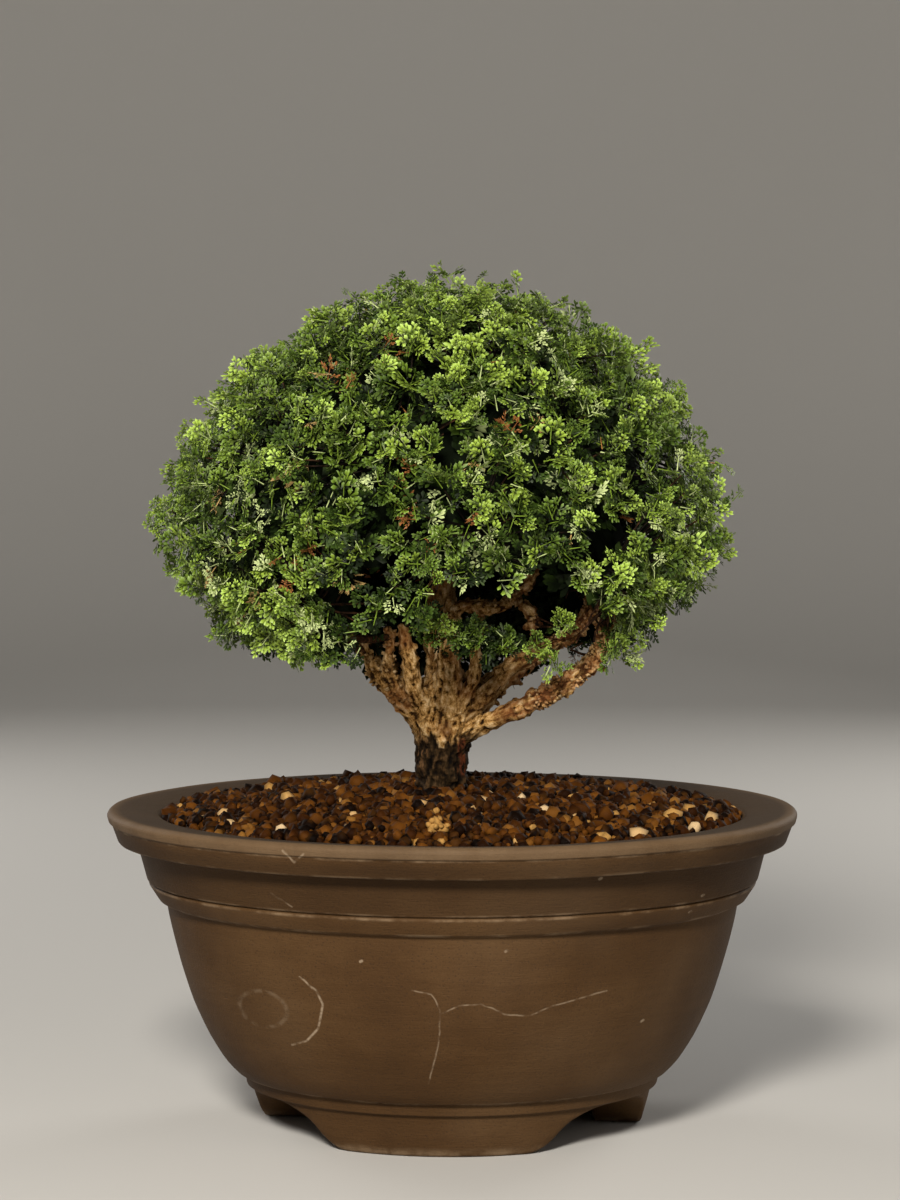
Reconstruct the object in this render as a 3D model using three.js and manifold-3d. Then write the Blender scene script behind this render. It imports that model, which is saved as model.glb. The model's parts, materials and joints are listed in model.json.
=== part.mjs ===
// A hinoki cypress bonsai, grown in a round unglazed bowl on three feet.
// Millimetres, +Z up. The origin is the middle of the circle that the feet stand on, and the
// side with a foot in the middle is the front, which looks along -Y.
//
// Pieces: the fired pot, the mesh over its drainage hole, the gravel soil, the trunk with all
// its limbs as one grown piece, and one head of flat lobed sprays for each branch end.

import * as THREE from "three";
import { mergeVertices } from "three/addons/utils/BufferGeometryUtils.js";
import Module from "manifold-3d";

const wasm = await Module();
wasm.setup();

// ------------------------------------------------------------------ driving dimensions

const POT_HEIGHT = 140.3;
const LIP_RADIUS = 152.6;
const LIP_DEPTH = 13.9;
const FASCIA_RADIUS = 139.2;
const GROOVE_HEIGHT = 108.8;
const RIDGE_RADIUS = 134.2;
const BODY_RADIUS = 126.2;
const BODY_TOP = 99.8;
const BOWL_CURVE = [[106.2, 38], [113.8, 53.7], [119.5, 71.7]];
const BAND_RADIUS = 92.3;
const BAND_TOP = 24.3;
const FOOT_HEIGHT = 18.4;
const FOOT_RADIUS = 83.7;
const FOOT_INNER_RADIUS = 63;
const FLOOR_UNDERSIDE = 15;
const FLOOR_TOP = 25;
const INNER_RADIUS = 129;
const INNER_CURVE = [[115, 80], [98, 42], [70, FLOOR_TOP]];
const LIP_FALL = 2.1;
const DRAIN_RADIUS = 17;
const FOOT_COUNT = 3;
const FRONT_FOOT_TURN = -95;
const FOOT_OPENING = [[43.4, 0], [37.7, 3], [32.8, 9], [23.4, 15], [10.8, 18.1]];
const FOOT_CUT_START = 50;
const FOOT_CUT_DEPTH = 60;
const POT_SIDES = 36;
const HOLE_SIDES = 16;

const CLEARANCE = 0.3;
const SOCKET_CLEARANCE = 0.35;
const SCREEN_SIDE = 43;
const SCREEN_THICKNESS = 1.2;
const SCREEN_HOLES = 3;
const SCREEN_HOLE = 10;

const MOUND_TOP = 149;
const MOUND_FALL = 11;
const GRAVEL_PITCH = 13;
const GRAVEL_RELIEF = 3;
const GRAVEL_DRIFT = 7;

const TRUNK_X = -4.5;
const TRUNK_RADIUS = 11.8;
const TRUNK_ROOT = 118;
const TRUNK_HOLE_RADIUS = 12.7;
const BARK_RELIEF = 0.16;
const BRANCH_RADII = [3.4, 1.7];
const BRANCH_SAG = 0.1;

const CROWN_CENTRE = new THREE.Vector3(-5, 0, 256);
const CROWN_RADIUS = 128;
const CROWN_RISE = 121;
const CROWN_UNDERCUT = 0.26;
const CROWN_UNDERCUT_ANGLE = 33;
const HEAD_DEPTH = 0.75;
const HEAD_THICKNESS = 14;
const HEAD_SPREAD = 47;
const HEAD_DROP = 33;
const HEAD_MARGIN = 1;
const FANS_ON_TOP = 5;
const FANS_MORE_BELOW = 3;
const FAN_SPREAD = 0.86;
const FAN_LEAN = { middle: 60, rim: 42, vary: 16 };
const FAN_SWAY = 36;
const FAN_ROLL = 30;
const FAN_LENGTH = 27;
const FAN_LOBES = 5;
const FAN_OPENING = 140;
const FAN_LOBE_REACH = 0.94;
const FAN_SIDE_SHORTER = 0.2;
const FAN_CUT_REACH = 0.48;
const FAN_ROOT = 12;
const FAN_STALK = 2.5;
const FAN_THICKNESS = 0.8;
const FAN_DROOP = 0.008;
const FAN_BEND_LIMIT = 12;

// ------------------------------------------------------------------ small tools

const degrees = THREE.MathUtils.degToRad;
const vector = (x, y, z) => new THREE.Vector3(x, y, z);

/** A repeatable stream of numbers from 0 to 1. */
function draws(seed) {
  let state = seed >>> 0;
  return () => {
    state = (state + 0x6d2b79f5) >>> 0;
    let mixed = Math.imul(state ^ (state >>> 15), 1 | state);
    mixed = (mixed + Math.imul(mixed ^ (mixed >>> 7), 61 | mixed)) ^ mixed;
    return ((mixed ^ (mixed >>> 14)) >>> 0) / 4294967296;
  };
}

/** The closed geometry as a solid that can be joined and cut. */
function solidOf(geometry) {
  const bare = geometry.clone();
  bare.deleteAttribute("normal");
  bare.deleteAttribute("uv");
  const merged = mergeVertices(bare, 1e-3);
  return new wasm.Manifold(
    new wasm.Mesh({
      numProp: 3,
      vertProperties: new Float32Array(merged.getAttribute("position").array),
      triVerts: new Uint32Array(merged.index.array),
    }),
  );
}

/** The solid's largest body as a geometry, without the scraps that a cut leaves. */
function geometryOf(solid) {
  const bodies = solid.decompose().sort((a, b) => b.volume() - a.volume());
  const mesh = bodies[0].getMesh();
  const geometry = new THREE.BufferGeometry();
  geometry.setAttribute("position", new THREE.BufferAttribute(mesh.vertProperties, 3));
  geometry.setIndex(new THREE.BufferAttribute(mesh.triVerts, 1));
  geometry.computeVertexNormals();
  return geometry;
}

const joined = (solids) => solids.reduce((whole, solid) => whole.add(solid));

/** A turned solid from a profile of [radius, height] points that starts and ends on the axis. */
function turned(profile, sides) {
  const points = profile.map(([radius, height]) => new THREE.Vector2(radius, height));
  const geometry = new THREE.LatheGeometry(points, sides);
  geometry.rotateX(Math.PI / 2);
  return solidOf(geometry);
}

/** Points of a smooth curve through the given [radius, height] points, without its two ends. */
function between(points, count) {
  const curve = new THREE.SplineCurve(points.map(([r, z]) => new THREE.Vector2(r, z)));
  const inner = curve.getSpacedPoints(count).slice(1, -1);
  return inner.map((point) => [point.x, point.y]);
}

// ------------------------------------------------------------------ pot

/** Foot, lower band, bowl, ridge, fascia and lip, from the axis outwards and up. */
function potOutside() {
  const bowlFoot = [BAND_RADIUS + 3.2, BAND_TOP + 0.3];
  const bowlTop = [BODY_RADIUS, BODY_TOP];
  const bowl = [bowlFoot, ...BOWL_CURVE, bowlTop];
  const lipBottom = POT_HEIGHT - LIP_DEPTH;
  return [
    [0, FLOOR_UNDERSIDE],
    [FOOT_INNER_RADIUS + 3, FLOOR_UNDERSIDE],
    [FOOT_INNER_RADIUS, 0],
    [FOOT_RADIUS, 0],
    [FOOT_RADIUS + 5.2, FOOT_HEIGHT],
    [BAND_RADIUS - 0.8, FOOT_HEIGHT + 0.4],
    [BAND_RADIUS, BAND_TOP],
    bowlFoot,
    ...between(bowl, 5),
    bowlTop,
    [BODY_RADIUS + 3.4, BODY_TOP + 1.6],
    [RIDGE_RADIUS, GROOVE_HEIGHT - 0.8],
    [RIDGE_RADIUS - 0.9, GROOVE_HEIGHT],
    [RIDGE_RADIUS + 0.6, GROOVE_HEIGHT + 0.8],
    [FASCIA_RADIUS, lipBottom],
    [LIP_RADIUS - 5.3, lipBottom],
    [LIP_RADIUS - 2, POT_HEIGHT - 5.8],
    [LIP_RADIUS - 0.9, POT_HEIGHT - 5.2],
    [LIP_RADIUS, POT_HEIGHT - 1.6],
    [LIP_RADIUS - 1.2, POT_HEIGHT],
  ];
}

/** The wall inside, from the lip's top face down to the floor, kept inside by a clearance. */
function potInside(clearance) {
  const top = [INNER_RADIUS, POT_HEIGHT - LIP_FALL];
  const wall = [top, ...INNER_CURVE].map(([radius, height]) => [radius - clearance, height]);
  wall[wall.length - 1][1] += clearance;
  return [...wall, [0, FLOOR_TOP + clearance]];
}

/** The opening between two feet: wide at the ground, arched under the lower band. */
function footOpening() {
  const right = new THREE.SplineCurve(FOOT_OPENING.map(([x, z]) => new THREE.Vector2(x, z)));
  const rightPoints = right.getSpacedPoints(5);
  const leftPoints = rightPoints.map((p) => new THREE.Vector2(-p.x, p.y)).reverse();
  const below = FOOT_OPENING[0][0] + 2;
  const start = [new THREE.Vector2(-below, -2), new THREE.Vector2(below, -2)];
  const outline = new THREE.Shape([...start, ...rightPoints, ...leftPoints]);
  const options = { depth: FOOT_CUT_DEPTH, bevelEnabled: false };
  const geometry = new THREE.ExtrudeGeometry(outline, options);
  geometry.rotateX(Math.PI / 2);
  geometry.translate(0, FOOT_CUT_START + FOOT_CUT_DEPTH, 0);
  return geometry;
}

function makePot() {
  let pot = turned([...potOutside(), ...potInside(0)], POT_SIDES);
  for (let i = 0; i < FOOT_COUNT; i += 1) {
    const turn = FRONT_FOOT_TURN - 90 + ((i + 0.5) * 360) / FOOT_COUNT;
    pot = pot.subtract(solidOf(footOpening().rotateZ(degrees(turn))));
  }
  const drain = new THREE.CylinderGeometry(DRAIN_RADIUS, DRAIN_RADIUS, 2 * FLOOR_TOP, HOLE_SIDES);
  return pot.subtract(solidOf(drain.rotateX(Math.PI / 2).translate(0, 0, FLOOR_TOP)));
}

// ------------------------------------------------------------------ drainage mesh

/** A square plastic mesh that lies on the floor over the drainage hole. */
function makeScreen() {
  const plate = new THREE.BoxGeometry(SCREEN_SIDE, SCREEN_SIDE, SCREEN_THICKNESS);
  const bar = (SCREEN_SIDE - SCREEN_HOLES * SCREEN_HOLE) / (SCREEN_HOLES + 1);
  const pitch = SCREEN_HOLE + bar;
  const middle = (SCREEN_HOLES - 1) / 2;
  let screen = solidOf(plate);
  for (let i = 0; i < SCREEN_HOLES; i += 1) {
    for (let j = 0; j < SCREEN_HOLES; j += 1) {
      const hole = new THREE.BoxGeometry(SCREEN_HOLE, SCREEN_HOLE, 2 * SCREEN_THICKNESS);
      hole.translate((i - middle) * pitch, (j - middle) * pitch, 0);
      screen = screen.subtract(solidOf(hole));
    }
  }
  return screen.translate(0, 0, FLOOR_TOP + CLEARANCE + SCREEN_THICKNESS / 2);
}

// ------------------------------------------------------------------ soil

/** The mounded bed of gravel: a grid of corners raised and shifted by seeded draws. */
function gravelBed() {
  const side = 2 * (INNER_RADIUS + GRAVEL_PITCH);
  const cells = Math.round(side / GRAVEL_PITCH);
  const bed = new THREE.BoxGeometry(side, side, 2, cells, cells, 1);
  const position = bed.getAttribute("position");
  const draw = draws(71);
  const shifts = new Map();
  for (let i = 0; i < position.count; i += 1) {
    const x = position.getX(i);
    const y = position.getY(i);
    const key = [x, y].map((value) => value.toFixed(1)).join();
    if (!shifts.has(key)) shifts.set(key, [draw() - 0.5, draw() - 0.5, draw() - 0.5]);
    const [across, back, up] = shifts.get(key);
    const edge = Math.min(Math.hypot(x, y) / INNER_RADIUS, 1);
    const surface = MOUND_TOP - MOUND_FALL * edge ** 2 + GRAVEL_RELIEF * up;
    const z = position.getZ(i) > 0 ? surface : 0;
    position.setXYZ(i, x + GRAVEL_DRIFT * across, y + GRAVEL_DRIFT * back, z);
  }
  return solidOf(bed);
}

/** All that fits inside the pot, under the gravel bed, with the trunk's hole and the mesh's place. */
function makeSoil() {
  const clear = MOUND_TOP + 2 * GRAVEL_RELIEF;
  const filled = [[0, clear], [INNER_RADIUS - CLEARANCE, clear], ...potInside(CLEARANCE)];
  const inside = turned(filled.reverse(), POT_SIDES);
  const depth = clear - TRUNK_ROOT + CLEARANCE;
  const stem = new THREE.CylinderGeometry(TRUNK_HOLE_RADIUS, TRUNK_HOLE_RADIUS, depth, HOLE_SIDES);
  stem.rotateX(Math.PI / 2);
  stem.translate(TRUNK_X, 0, clear - depth / 2);
  const side = SCREEN_SIDE + 2 * CLEARANCE;
  const pocket = new THREE.BoxGeometry(side, side, 2 * (SCREEN_THICKNESS + CLEARANCE));
  pocket.translate(0, 0, FLOOR_TOP + CLEARANCE);
  return inside.intersect(gravelBed()).subtract(solidOf(stem)).subtract(solidOf(pocket));
}

// ------------------------------------------------------------------ trunk and limbs

/**
 * A limb along a smooth curve: rings of a few corners, square to the curve, whose corners are
 * pushed in and out by seeded draws. It can be grown all round, for the socket that it fits.
 */
function limb({ points, radii, sides, steps, seed }, grow = 0) {
  const curve = new THREE.CatmullRomCurve3(points);
  const frames = curve.computeFrenetFrames(steps, false);
  const taper = new THREE.SplineCurve(radii.map((r, i) => new THREE.Vector2(i, r)));
  const draw = draws(seed);
  const corners = [];
  for (let i = 0; i <= steps; i += 1) {
    const end = i === 0 ? -grow : i === steps ? grow : 0;
    const centre = curve.getPointAt(i / steps).addScaledVector(frames.tangents[i], end);
    const radius = taper.getPoint(i / steps).y;
    for (let j = 0; j < sides; j += 1) {
      const turn = (2 * Math.PI * j) / sides;
      const reach = radius * (1 + BARK_RELIEF * (draw() - 0.7)) + grow;
      const corner = centre.clone();
      corner.addScaledVector(frames.normals[i], reach * Math.cos(turn));
      corner.addScaledVector(frames.binormals[i], reach * Math.sin(turn));
      corners.push(corner);
    }
  }
  const faces = [];
  for (let i = 0; i < steps; i += 1) {
    for (let j = 0; j < sides; j += 1) {
      const a = i * sides + j;
      const b = i * sides + ((j + 1) % sides);
      faces.push(a, b, a + sides, b, b + sides, a + sides);
    }
  }
  const last = steps * sides;
  for (let j = 1; j < sides - 1; j += 1) {
    faces.push(0, j + 1, j, last, last + j, last + j + 1);
  }
  const geometry = new THREE.BufferGeometry().setFromPoints(corners);
  geometry.setIndex(faces);
  return solidOf(geometry);
}

const TRUNK = {
  points: [
    vector(TRUNK_X, 0, TRUNK_ROOT),
    vector(TRUNK_X, 0, 135),
    vector(TRUNK_X, 0, 152),
    vector(-4.2, 0, 166),
    vector(-3.4, 0, 181),
    vector(-2, 1, 199),
  ],
  radii: [TRUNK_RADIUS, TRUNK_RADIUS, TRUNK_RADIUS, 15.5, 23, 17],
  sides: 11,
  steps: 7,
  seed: 5,
};

// Main limbs, from the fork of the trunk to where each goes into the leaves.
const LIMBS = {
  lowLeft: {
    radii: [8, 4.6],
    route: [
      [-8, -2, 174],
      [-16, -5, 182],
      [-25, -8, 188],
      [-33, -10, 194],
      [-38, -9, 203],
      [-42, -8, 214],
    ],
  },
  uprightLeft: {
    radii: [7.5, 4],
    route: [[-9, -4, 178], [-16, -9, 194], [-16, -12, 212], [-22, -16, 232]],
  },
  centre: {
    radii: [8, 4.4],
    route: [[-3, -5, 180], [-2, -12, 194], [-1, -9, 213], [0, -11, 232]],
  },
  uprightRight: {
    radii: [7, 4],
    route: [[5, -3, 176], [10, -6, 194], [10, -4, 211], [18, -3, 236]],
  },
  upperRight: {
    radii: [7.5, 3.6],
    route: [[8, -4, 182], [26, -8, 200], [45, -12, 209], [54, -14, 217], [61, -14, 230]],
  },
  longRight: {
    radii: [7, 3.6],
    route: [
      [5, -4, 165],
      [14, -9, 178],
      [26, -18, 185],
      [38, -22, 191],
      [48, -24, 193],
      [60, -23, 202],
      [67, -20, 218],
    ],
  },
  cross: {
    radii: [3.6, 2.6],
    route: [[-1, -10, 226], [6, -12, 229], [22, -14, 230], [38, -17, 227]],
  },
  backLeft: {
    radii: [8, 4.4],
    route: [[-8, 5, 176], [-20, 18, 190], [-36, 30, 204], [-48, 38, 220]],
  },
  back: {
    radii: [8, 4.4],
    route: [[-2, 7, 178], [-4, 24, 194], [-6, 44, 208], [-10, 60, 224]],
  },
  backRight: {
    radii: [8, 4.4],
    route: [[5, 5, 176], [20, 18, 190], [36, 32, 202], [50, 42, 218]],
  },
  leader: {
    radii: [9, 4],
    route: [[-2, 2, 182], [-5, 5, 214], [-4, 2, 248], [-6, 0, 282]],
  },
};

function mainLimbs() {
  return Object.values(LIMBS).map(({ route, radii }, i) => ({
    points: route.map(([x, y, z]) => vector(x, y, z)),
    radii,
    sides: 6,
    steps: Math.round(1.3 * (route.length - 1)),
    seed: 20 + i,
  }));
}

// ------------------------------------------------------------------ crown

// Heads of sprays as [turn about the trunk, rise above the crown's middle], in degrees.
const LOWER_HEADS = [
  [-172, -8],
  [-127, -14],
  [-82, 6],
  [-38, -5],
  [8, -11],
  [52, -12],
  [98, -9],
  [143, -13],
];
const UPPER_RINGS = [
  { count: 7, rise: 29, turn: -102 },
  { count: 4, rise: 60, turn: -64 },
];
const fansOn = (head) => Math.round(FANS_ON_TOP + FANS_MORE_BELOW * (1 - head.z));

/** How far the crown reaches from its middle, in the direction given. */
function crownReach(direction) {
  const flat = Math.hypot(direction.x, direction.y);
  if (direction.z >= 0) return 1 / Math.hypot(flat / CROWN_RADIUS, direction.z / CROWN_RISE);
  const fall = THREE.MathUtils.radToDeg(Math.atan2(-direction.z, flat));
  return CROWN_RADIUS * (1 - CROWN_UNDERCUT * Math.min(fall / CROWN_UNDERCUT_ANGLE, 1.2) ** 1.9);
}

function headDirections() {
  const pairs = [...LOWER_HEADS];
  for (const { count, rise, turn } of UPPER_RINGS) {
    for (let i = 0; i < count; i += 1) pairs.push([turn + (i * 360) / count, rise]);
  }
  pairs.push([0, 90]);
  return pairs.map(([turn, rise]) => {
    const flat = Math.cos(degrees(rise));
    return vector(flat * Math.cos(degrees(turn)), flat * Math.sin(degrees(turn)), Math.sin(degrees(rise)));
  });
}

/** The flat sides of a head's share of the crown, a cone from the middle, facing inwards. */
function shareSides(own, directions) {
  const others = directions.filter((other) => other !== own);
  return others.map((other) => own.clone().sub(other).normalize());
}

/** How far a point stays inside all the sides of the share. */
function insideShare(point, sides) {
  const from = point.clone().sub(CROWN_CENTRE);
  return Math.min(...sides.map((side) => from.dot(side)));
}

/** How far a head can spread from its centre, along the given direction. */
function spreadAlong(centre, along, sides) {
  const from = centre.clone().sub(CROWN_CENTRE);
  let spread = HEAD_SPREAD;
  if (along.z < 0) spread = Math.min(spread, HEAD_DROP / -along.z);
  for (const side of sides) {
    const fall = -along.dot(side);
    if (fall > 0.01) spread = Math.min(spread, (from.dot(side) - HEAD_MARGIN) / fall);
  }
  return spread;
}

/** The dense middle of a head: a lumpy flattened ball that fills the head's share sideways. */
function headCore(own, centre, sides, draw) {
  const geometry = new THREE.IcosahedronGeometry(1, 1);
  const position = geometry.getAttribute("position");
  const lumps = new Map();
  for (let i = 0; i < position.count; i += 1) {
    const unit = new THREE.Vector3().fromBufferAttribute(position, i);
    const key = unit.toArray().map((value) => value.toFixed(3)).join();
    if (!lumps.has(key)) lumps.set(key, 0.9 + 0.16 * draw());
    const outward = unit.dot(own);
    const across = unit.clone().addScaledVector(own, -outward);
    if (across.length() > 0.01) {
      across.multiplyScalar(spreadAlong(centre, across.clone().normalize(), sides));
    }
    const corner = across.addScaledVector(own, outward * HEAD_THICKNESS);
    corner.multiplyScalar(lumps.get(key));
    while (insideShare(corner.clone().add(centre), sides) < HEAD_MARGIN) {
      corner.multiplyScalar(0.96);
    }
    corner.add(centre);
    position.setXYZ(i, corner.x, corner.y, corner.z);
  }
  return solidOf(geometry);
}

/** A fan's outline: lobes about its stalk's top, cut deep between them, on a pointed root. */
function fanOutline(length, draw) {
  const points = [new THREE.Vector2(0, -FAN_ROOT)];
  const last = 2 * FAN_LOBES - 2;
  for (let i = 0; i <= last; i += 1) {
    const turn = degrees(90 + FAN_OPENING * (i / last - 0.5) + 7 * (draw() - 0.5));
    const tip = FAN_LOBE_REACH - FAN_SIDE_SHORTER * (1 - Math.sin(turn)) + 0.16 * (draw() - 0.5);
    const reach = (i % 2 ? FAN_CUT_REACH : tip) * length;
    points.push(new THREE.Vector2(reach * Math.cos(turn), reach * Math.sin(turn)));
  }
  return new THREE.Shape(points);
}

/**
 * A flat spray that grows from a root point: its lobes droop towards their tips, and what would
 * reach into the next head's share is pushed back from it, alike on both faces. It is left out
 * where it would be pushed too far.
 */
function placedFan(root, grow, face, sides, length, draw) {
  const side = new THREE.Vector3().crossVectors(grow, face);
  const options = { depth: FAN_THICKNESS, bevelEnabled: false };
  const geometry = new THREE.ExtrudeGeometry(fanOutline(length, draw), options);
  const position = geometry.getAttribute("position");
  for (let i = 0; i < position.count; i += 1) {
    const up = position.getY(i);
    const centre = root.clone().addScaledVector(side, position.getX(i)).addScaledVector(grow, up);
    centre.addScaledVector(face, -FAN_DROOP * Math.max(up, 0) ** 2);
    let pushed = 0;
    for (let pass = 0; pass < 3; pass += 1) {
      for (const wall of sides) {
        const inside = centre.clone().sub(CROWN_CENTRE).dot(wall);
        const missing = Math.max(CLEARANCE + FAN_THICKNESS / 2 - inside, 0);
        centre.addScaledVector(wall, missing);
        pushed += missing;
      }
    }
    if (pushed > FAN_BEND_LIMIT) return null;
    const corner = centre.addScaledVector(face, position.getZ(i) - FAN_THICKNESS / 2);
    position.setXYZ(i, corner.x, corner.y, corner.z);
  }
  return geometry;
}

/** A head: its core, with fans set evenly round it that lean outwards all ways. */
function makeHead(own, directions, count, seed) {
  const draw = draws(seed);
  const sides = shareSides(own, directions);
  const centre = CROWN_CENTRE.clone().addScaledVector(own, HEAD_DEPTH * crownReach(own));
  const helper = Math.abs(own.z) > 0.9 ? vector(1, 0, 0) : vector(0, 0, 1);
  const first = new THREE.Vector3().crossVectors(helper, own).normalize();
  const second = new THREE.Vector3().crossVectors(own, first);
  const goldenTurn = Math.PI * (3 - Math.sqrt(5));
  const solids = [headCore(own, centre, sides, draw)];
  for (let i = 0; i < count; i += 1) {
    const flat = Math.sqrt((i + 0.5) / count);
    const outward = Math.sqrt(1 - flat ** 2);
    const turn = i * goldenTurn + seed;
    const along = first.clone().multiplyScalar(Math.cos(turn)).addScaledVector(second, Math.sin(turn));
    const root = centre.clone().addScaledVector(own, outward * HEAD_THICKNESS + FAN_STALK);
    root.addScaledVector(along, FAN_SPREAD * flat * spreadAlong(centre, along, sides));
    const lean = THREE.MathUtils.lerp(FAN_LEAN.middle, FAN_LEAN.rim, flat);
    const tilt = degrees(lean + FAN_LEAN.vary * (draw() - 0.5));
    const sway = degrees(FAN_SWAY * (draw() - 0.5));
    const sideways = new THREE.Vector3().crossVectors(own, along);
    const away = along.clone().multiplyScalar(Math.cos(sway)).addScaledVector(sideways, Math.sin(sway));
    const grow = own.clone().multiplyScalar(Math.cos(tilt)).addScaledVector(away, Math.sin(tilt));
    const face = own.clone().multiplyScalar(Math.sin(tilt)).addScaledVector(away, -Math.cos(tilt));
    face.applyAxisAngle(grow, degrees(FAN_ROLL * (draw() - 0.5)));
    const geometry = placedFan(root, grow, face, sides, FAN_LENGTH, draw);
    if (geometry) solids.push(solidOf(geometry));
  }
  return { centre, solid: joined(solids) };
}

/** A branch from the end of the nearest limb, sagging a little on its way into the core. */
function branchTo(centre, limbs, seed) {
  const endOf = ({ points }) => points[points.length - 1];
  const nearer = (best, other) =>
    endOf(other).distanceTo(centre) < endOf(best).distanceTo(centre) ? other : best;
  const from = new THREE.CatmullRomCurve3(limbs.reduce(nearer).points).getPointAt(0.9);
  const middle = from.clone().lerp(centre, 0.5);
  middle.z -= BRANCH_SAG * from.distanceTo(centre);
  return { points: [from, middle, centre.clone()], radii: BRANCH_RADII, sides: 4, steps: 3, seed };
}

// ------------------------------------------------------------------ the object

const bonsai = new THREE.Group();

function place(name, solid, color, roughness) {
  const material = new THREE.MeshStandardMaterial({ color, roughness, metalness: 0 });
  const mesh = new THREE.Mesh(geometryOf(solid), material);
  mesh.name = name;
  bonsai.add(mesh);
}

const POT_CLAY = 0x5a4635;
const BARK = 0x86654a;
const GRAVEL = 0x7c4c2d;
const MESH_PLASTIC = 0x23262a;
const LEAF_GREENS = [0x3f6b2c, 0x4c7a33, 0x5a8a3a];

place("pot", makePot(), POT_CLAY, 0.72);
place("drainage_mesh", makeScreen(), MESH_PLASTIC, 0.6);
place("soil", makeSoil(), GRAVEL, 0.95);

const directions = headDirections();
const limbs = mainLimbs();
const heads = directions.map((own, i) => makeHead(own, directions, fansOn(own), 100 + i));
const wood = [TRUNK, ...limbs, ...heads.map(({ centre }, i) => branchTo(centre, limbs, 300 + i))];
place("trunk_and_limbs", joined(wood.map((piece) => limb(piece))), BARK, 0.9);

const sockets = joined(wood.slice(1).map((piece) => limb(piece, SOCKET_CLEARANCE)));
heads.forEach(({ solid }, i) => {
  const name = "leaf_head_" + String(i + 1).padStart(2, "0");
  place(name, solid.subtract(sockets), LEAF_GREENS[i % LEAF_GREENS.length], 0.6);
});

export default bonsai;
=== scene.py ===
"""A hinoki cypress bonsai in a round clay bowl: its fine surfaces, around the solid model.

Lengths in the tables are millimetres, meshes are metres. The tree stands on the Z axis, and
its front looks along -Y. Every surface is worked out with numpy, as whole arrays.
"""

import json
import math

import bpy
import numpy as np
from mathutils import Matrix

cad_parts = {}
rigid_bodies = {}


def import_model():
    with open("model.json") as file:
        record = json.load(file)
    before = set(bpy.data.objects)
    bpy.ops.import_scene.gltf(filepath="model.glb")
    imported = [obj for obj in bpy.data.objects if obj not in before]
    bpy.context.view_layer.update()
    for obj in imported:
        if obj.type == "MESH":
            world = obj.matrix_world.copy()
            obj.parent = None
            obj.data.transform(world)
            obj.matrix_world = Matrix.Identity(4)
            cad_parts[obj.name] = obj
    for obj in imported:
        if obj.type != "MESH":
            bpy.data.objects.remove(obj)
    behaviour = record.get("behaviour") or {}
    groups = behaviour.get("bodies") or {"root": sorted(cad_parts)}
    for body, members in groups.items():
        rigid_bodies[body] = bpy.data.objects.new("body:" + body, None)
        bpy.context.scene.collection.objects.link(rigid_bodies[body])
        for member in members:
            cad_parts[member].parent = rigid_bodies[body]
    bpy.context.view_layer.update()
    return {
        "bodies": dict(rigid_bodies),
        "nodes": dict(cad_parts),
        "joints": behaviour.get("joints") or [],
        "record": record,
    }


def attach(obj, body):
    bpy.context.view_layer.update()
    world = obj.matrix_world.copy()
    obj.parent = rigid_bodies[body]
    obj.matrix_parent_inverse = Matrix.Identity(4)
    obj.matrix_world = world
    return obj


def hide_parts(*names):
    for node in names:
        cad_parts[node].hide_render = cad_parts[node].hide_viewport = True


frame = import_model()

MM = 0.001
PICTURE_HEIGHT = 1200

# ---------------------------------------------------------------- camera, light and floor

# The camera in metres, with its focal length in pixels of the picture.
CAMERA_PLACE = (-0.0009, -1.700, 0.330)
CAMERA_TILT = math.radians(86.7)
FOCAL_PIXELS = 3851
SENSOR_MM = 36.0

FLOOR_TONE = (0.54, 0.53, 0.51)
ROOM_TONE = (0.92, 0.94, 1.0)
ROOM_STRENGTH = 0.055
# The sweep round the object, as (radius, height): a floor that curves up into a wall.
SWEEP = [
    (0.01, 0), (900, 0), (2200, 0), (2500, 40), (2760, 180), (2900, 420), (2950, 800), (2960, 1900)
]
SWEEP_COLUMNS = 96

# name: place, point aimed at, side, watts, colour
SOFT_LIGHTS = {
    "key": ((-0.26, -1.68, 1.02), (0.0, 0.0, 0.22), 0.34, 53.0, (1.0, 0.945, 0.86)),
    "fill": ((1.3, -1.1, 0.75), (0.0, 0.0, 0.2), 0.8, 2.0, (1.0, 0.97, 0.93)),
    "rim": ((1.15, 1.45, 0.80), (0.0, 0.0, 0.22), 0.7, 12.0, (1.0, 0.97, 0.92)),
    "back": ((-1.2, 1.35, 0.75), (0.0, 0.0, 0.22), 0.8, 10.5, (1.0, 0.97, 0.93)),
}


def aim(place, target):
    """The turn that points an object's -Z axis from its place to the target."""
    away = np.array(place) - np.array(target)
    flat = math.hypot(away[0], away[1])
    return (math.atan2(flat, away[2]), 0.0, math.atan2(away[0], -away[1]))


def set_camera():
    """The camera, with its focal length turned from pixels of the picture into millimetres."""
    data = bpy.data.cameras.new("camera")
    data.sensor_width = SENSOR_MM
    data.lens = FOCAL_PIXELS * SENSOR_MM / PICTURE_HEIGHT
    data.clip_end = 50
    camera = bpy.data.objects.new("camera", data)
    camera.location = CAMERA_PLACE
    camera.rotation_euler = (CAMERA_TILT, 0, 0)
    bpy.context.scene.collection.objects.link(camera)
    bpy.context.scene.camera = camera


def set_lights():
    """Four square soft lights, and a dim and even room."""
    for name, (place, target, side, watts, tone) in SOFT_LIGHTS.items():
        data = bpy.data.lights.new(name, "AREA")
        data.size = side
        data.energy = watts
        data.color = tone
        light = bpy.data.objects.new(name, data)
        light.location = place
        light.rotation_euler = aim(place, target)
        bpy.context.scene.collection.objects.link(light)
    world = bpy.data.worlds.new("room")
    world.use_nodes = True
    room = world.node_tree.nodes["Background"]
    room.inputs["Color"].default_value = (*ROOM_TONE, 1)
    room.inputs["Strength"].default_value = ROOM_STRENGTH
    bpy.context.scene.world = world
    bpy.context.scene.view_settings.view_transform = "Standard"


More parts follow.
